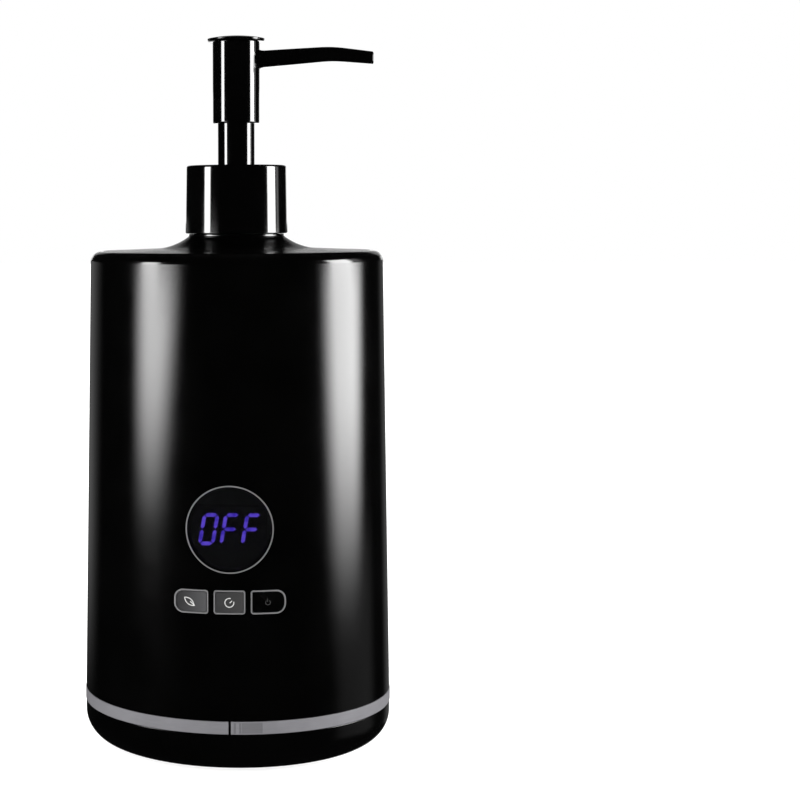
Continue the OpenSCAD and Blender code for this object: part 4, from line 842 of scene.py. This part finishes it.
def make_spout():
    """Spout drawn out section by section from a rounded square, flared where it leaves the head."""
    bm = bmesh.new()
    across = Matrix.Rotation(math.pi / 2, 4, "Y")
    bmesh.ops.create_grid(bm, x_segments=1, y_segments=1, size=0.5, matrix=across)
    bmesh.ops.bevel(
        bm, geom=bm.verts[:], offset=SPOUT_CORNER, offset_type="OFFSET", affect="VERTICES",
        segments=7, profile=0.5, material=-1)
    ring_edges, ring = bm.edges[:], bm.verts[:]
    last = None
    for i in range(SPOUT_SECTIONS + 1):
        t = i / SPOUT_SECTIONS
        x = SPOUT_ROOT_X + t * (SPOUT_TIP_X - SPOUT_ROOT_X)
        w = SPOUT_ROOT_W + (SPOUT_TIP_W - SPOUT_ROOT_W) * t
        h = SPOUT_ROOT_H + (SPOUT_TIP_H - SPOUT_ROOT_H) * t ** SPOUT_THINNING
        swell = SPOUT_SWELL * min(1.0, max(0.0, (HEAD_R + SWELL_END - x) / SWELL_RUN)) ** 2
        size = Vector((1, w * MM, h * MM * (1 + swell)))
        if i:
            made = bmesh.ops.extrude_edge_only(bm, edges=ring_edges)["geom"]
            ring = [g for g in made if isinstance(g, bmesh.types.BMVert)]
            ring_edges = [g for g in made if isinstance(g, bmesh.types.BMEdge)]
            bmesh.ops.translate(bm, vec=-last[0], verts=ring)
            bmesh.ops.scale(bm, vec=[a / b for a, b in zip(size, last[1])], verts=ring)
        else:
            bmesh.ops.scale(bm, vec=size, verts=ring)
        place = Vector((x * MM, 0, spout_centre(x) * MM))
        bmesh.ops.translate(bm, vec=place, verts=ring)
        last = place, size
    end = bmesh.ops.contextual_create(bm, geom=ring_edges)["faces"]
    bmesh.ops.recalc_face_normals(bm, faces=bm.faces)
    bmesh.ops.bevel(
        bm, geom=end[0].edges[:], offset=SPOUT_TIP_ROUND * MM, offset_type="OFFSET", affect="EDGES",
        segments=3, profile=0.5, material=-1)
    return bm


def make_head():
    flange_z = HEAD_TOP_Z + FLANGE_T
    dome_r = (FLANGE_R ** 2 + DOME_H ** 2) / (2 * DOME_H)
    dome = math.degrees(math.asin(FLANGE_R / dome_r))
    bm = (
        Pen(0, HEAD_Z + SOCKET_L).line((SOCKET_R, HEAD_Z + SOCKET_L), (SOCKET_R, HEAD_Z), (HEAD_R, HEAD_Z))
        .line((HEAD_R, HEAD_TOP_Z), (FLANGE_R, HEAD_TOP_Z), (FLANGE_R, flange_z))
        .arc(0, flange_z + DOME_H - dome_r, dome, 10).turned(STEPS))
    ease(bm, ((HEAD_R, HEAD_Z, 0.6), (FLANGE_R, flange_z, 0.2)))
    ease(bm, ((FLANGE_R, HEAD_TOP_Z, 0.85),), 2)
    bm = combined(bm, make_spout(), "UNION")
    bore = bmesh.new()
    place = Matrix.Translation((0, 0, spout_centre(SPOUT_TIP_X) * MM)) @ Matrix.Rotation(math.pi / 2, 4, "Y")
    rod(bore, SPOUT_BORE_R, SPOUT_TIP_X - SPOUT_BORE_L, SPOUT_TIP_X + SPOUT_BORE_OVER, place, 32)
    bm = combined(bm, bore, "DIFFERENCE")
    return piece("head", bm, GLOSS_BLACK, "pump_black", "head", "pump_head")


make_lid()
make_drip_ring()
make_collar()
make_stem()
make_spring()
make_head()


# Floor

def make_floor():
    bm = bmesh.new()
    bmesh.ops.create_grid(bm, x_segments=1, y_segments=1, size=6.0)
    mesh = bpy.data.meshes.new("floor")
    bm.to_mesh(mesh)
    bm.free()
    material, tree, shader, place = finish("pale_floor", Roughness=0.9)
    grain = use(tree, GRAIN, place, Fine=300.0, Broad=3.0)
    colour = tinted(tree, grain.outputs["Patches"], (0.58, 0.58, 0.58), (0.62, 0.62, 0.62))
    tree.links.new(colour, shader.inputs["Base Color"])
    shader.inputs["Specular IOR Level"].default_value = 0.0
    shader.inputs["Emission Color"].default_value = (1, 1, 1, 1)
    shader.inputs["Emission Strength"].default_value = 0.85
    mesh.materials.append(material)
    floor = bpy.data.objects.new("floor", mesh)
    floor.visible_glossy = False
    scene.collection.objects.link(floor)


make_floor()
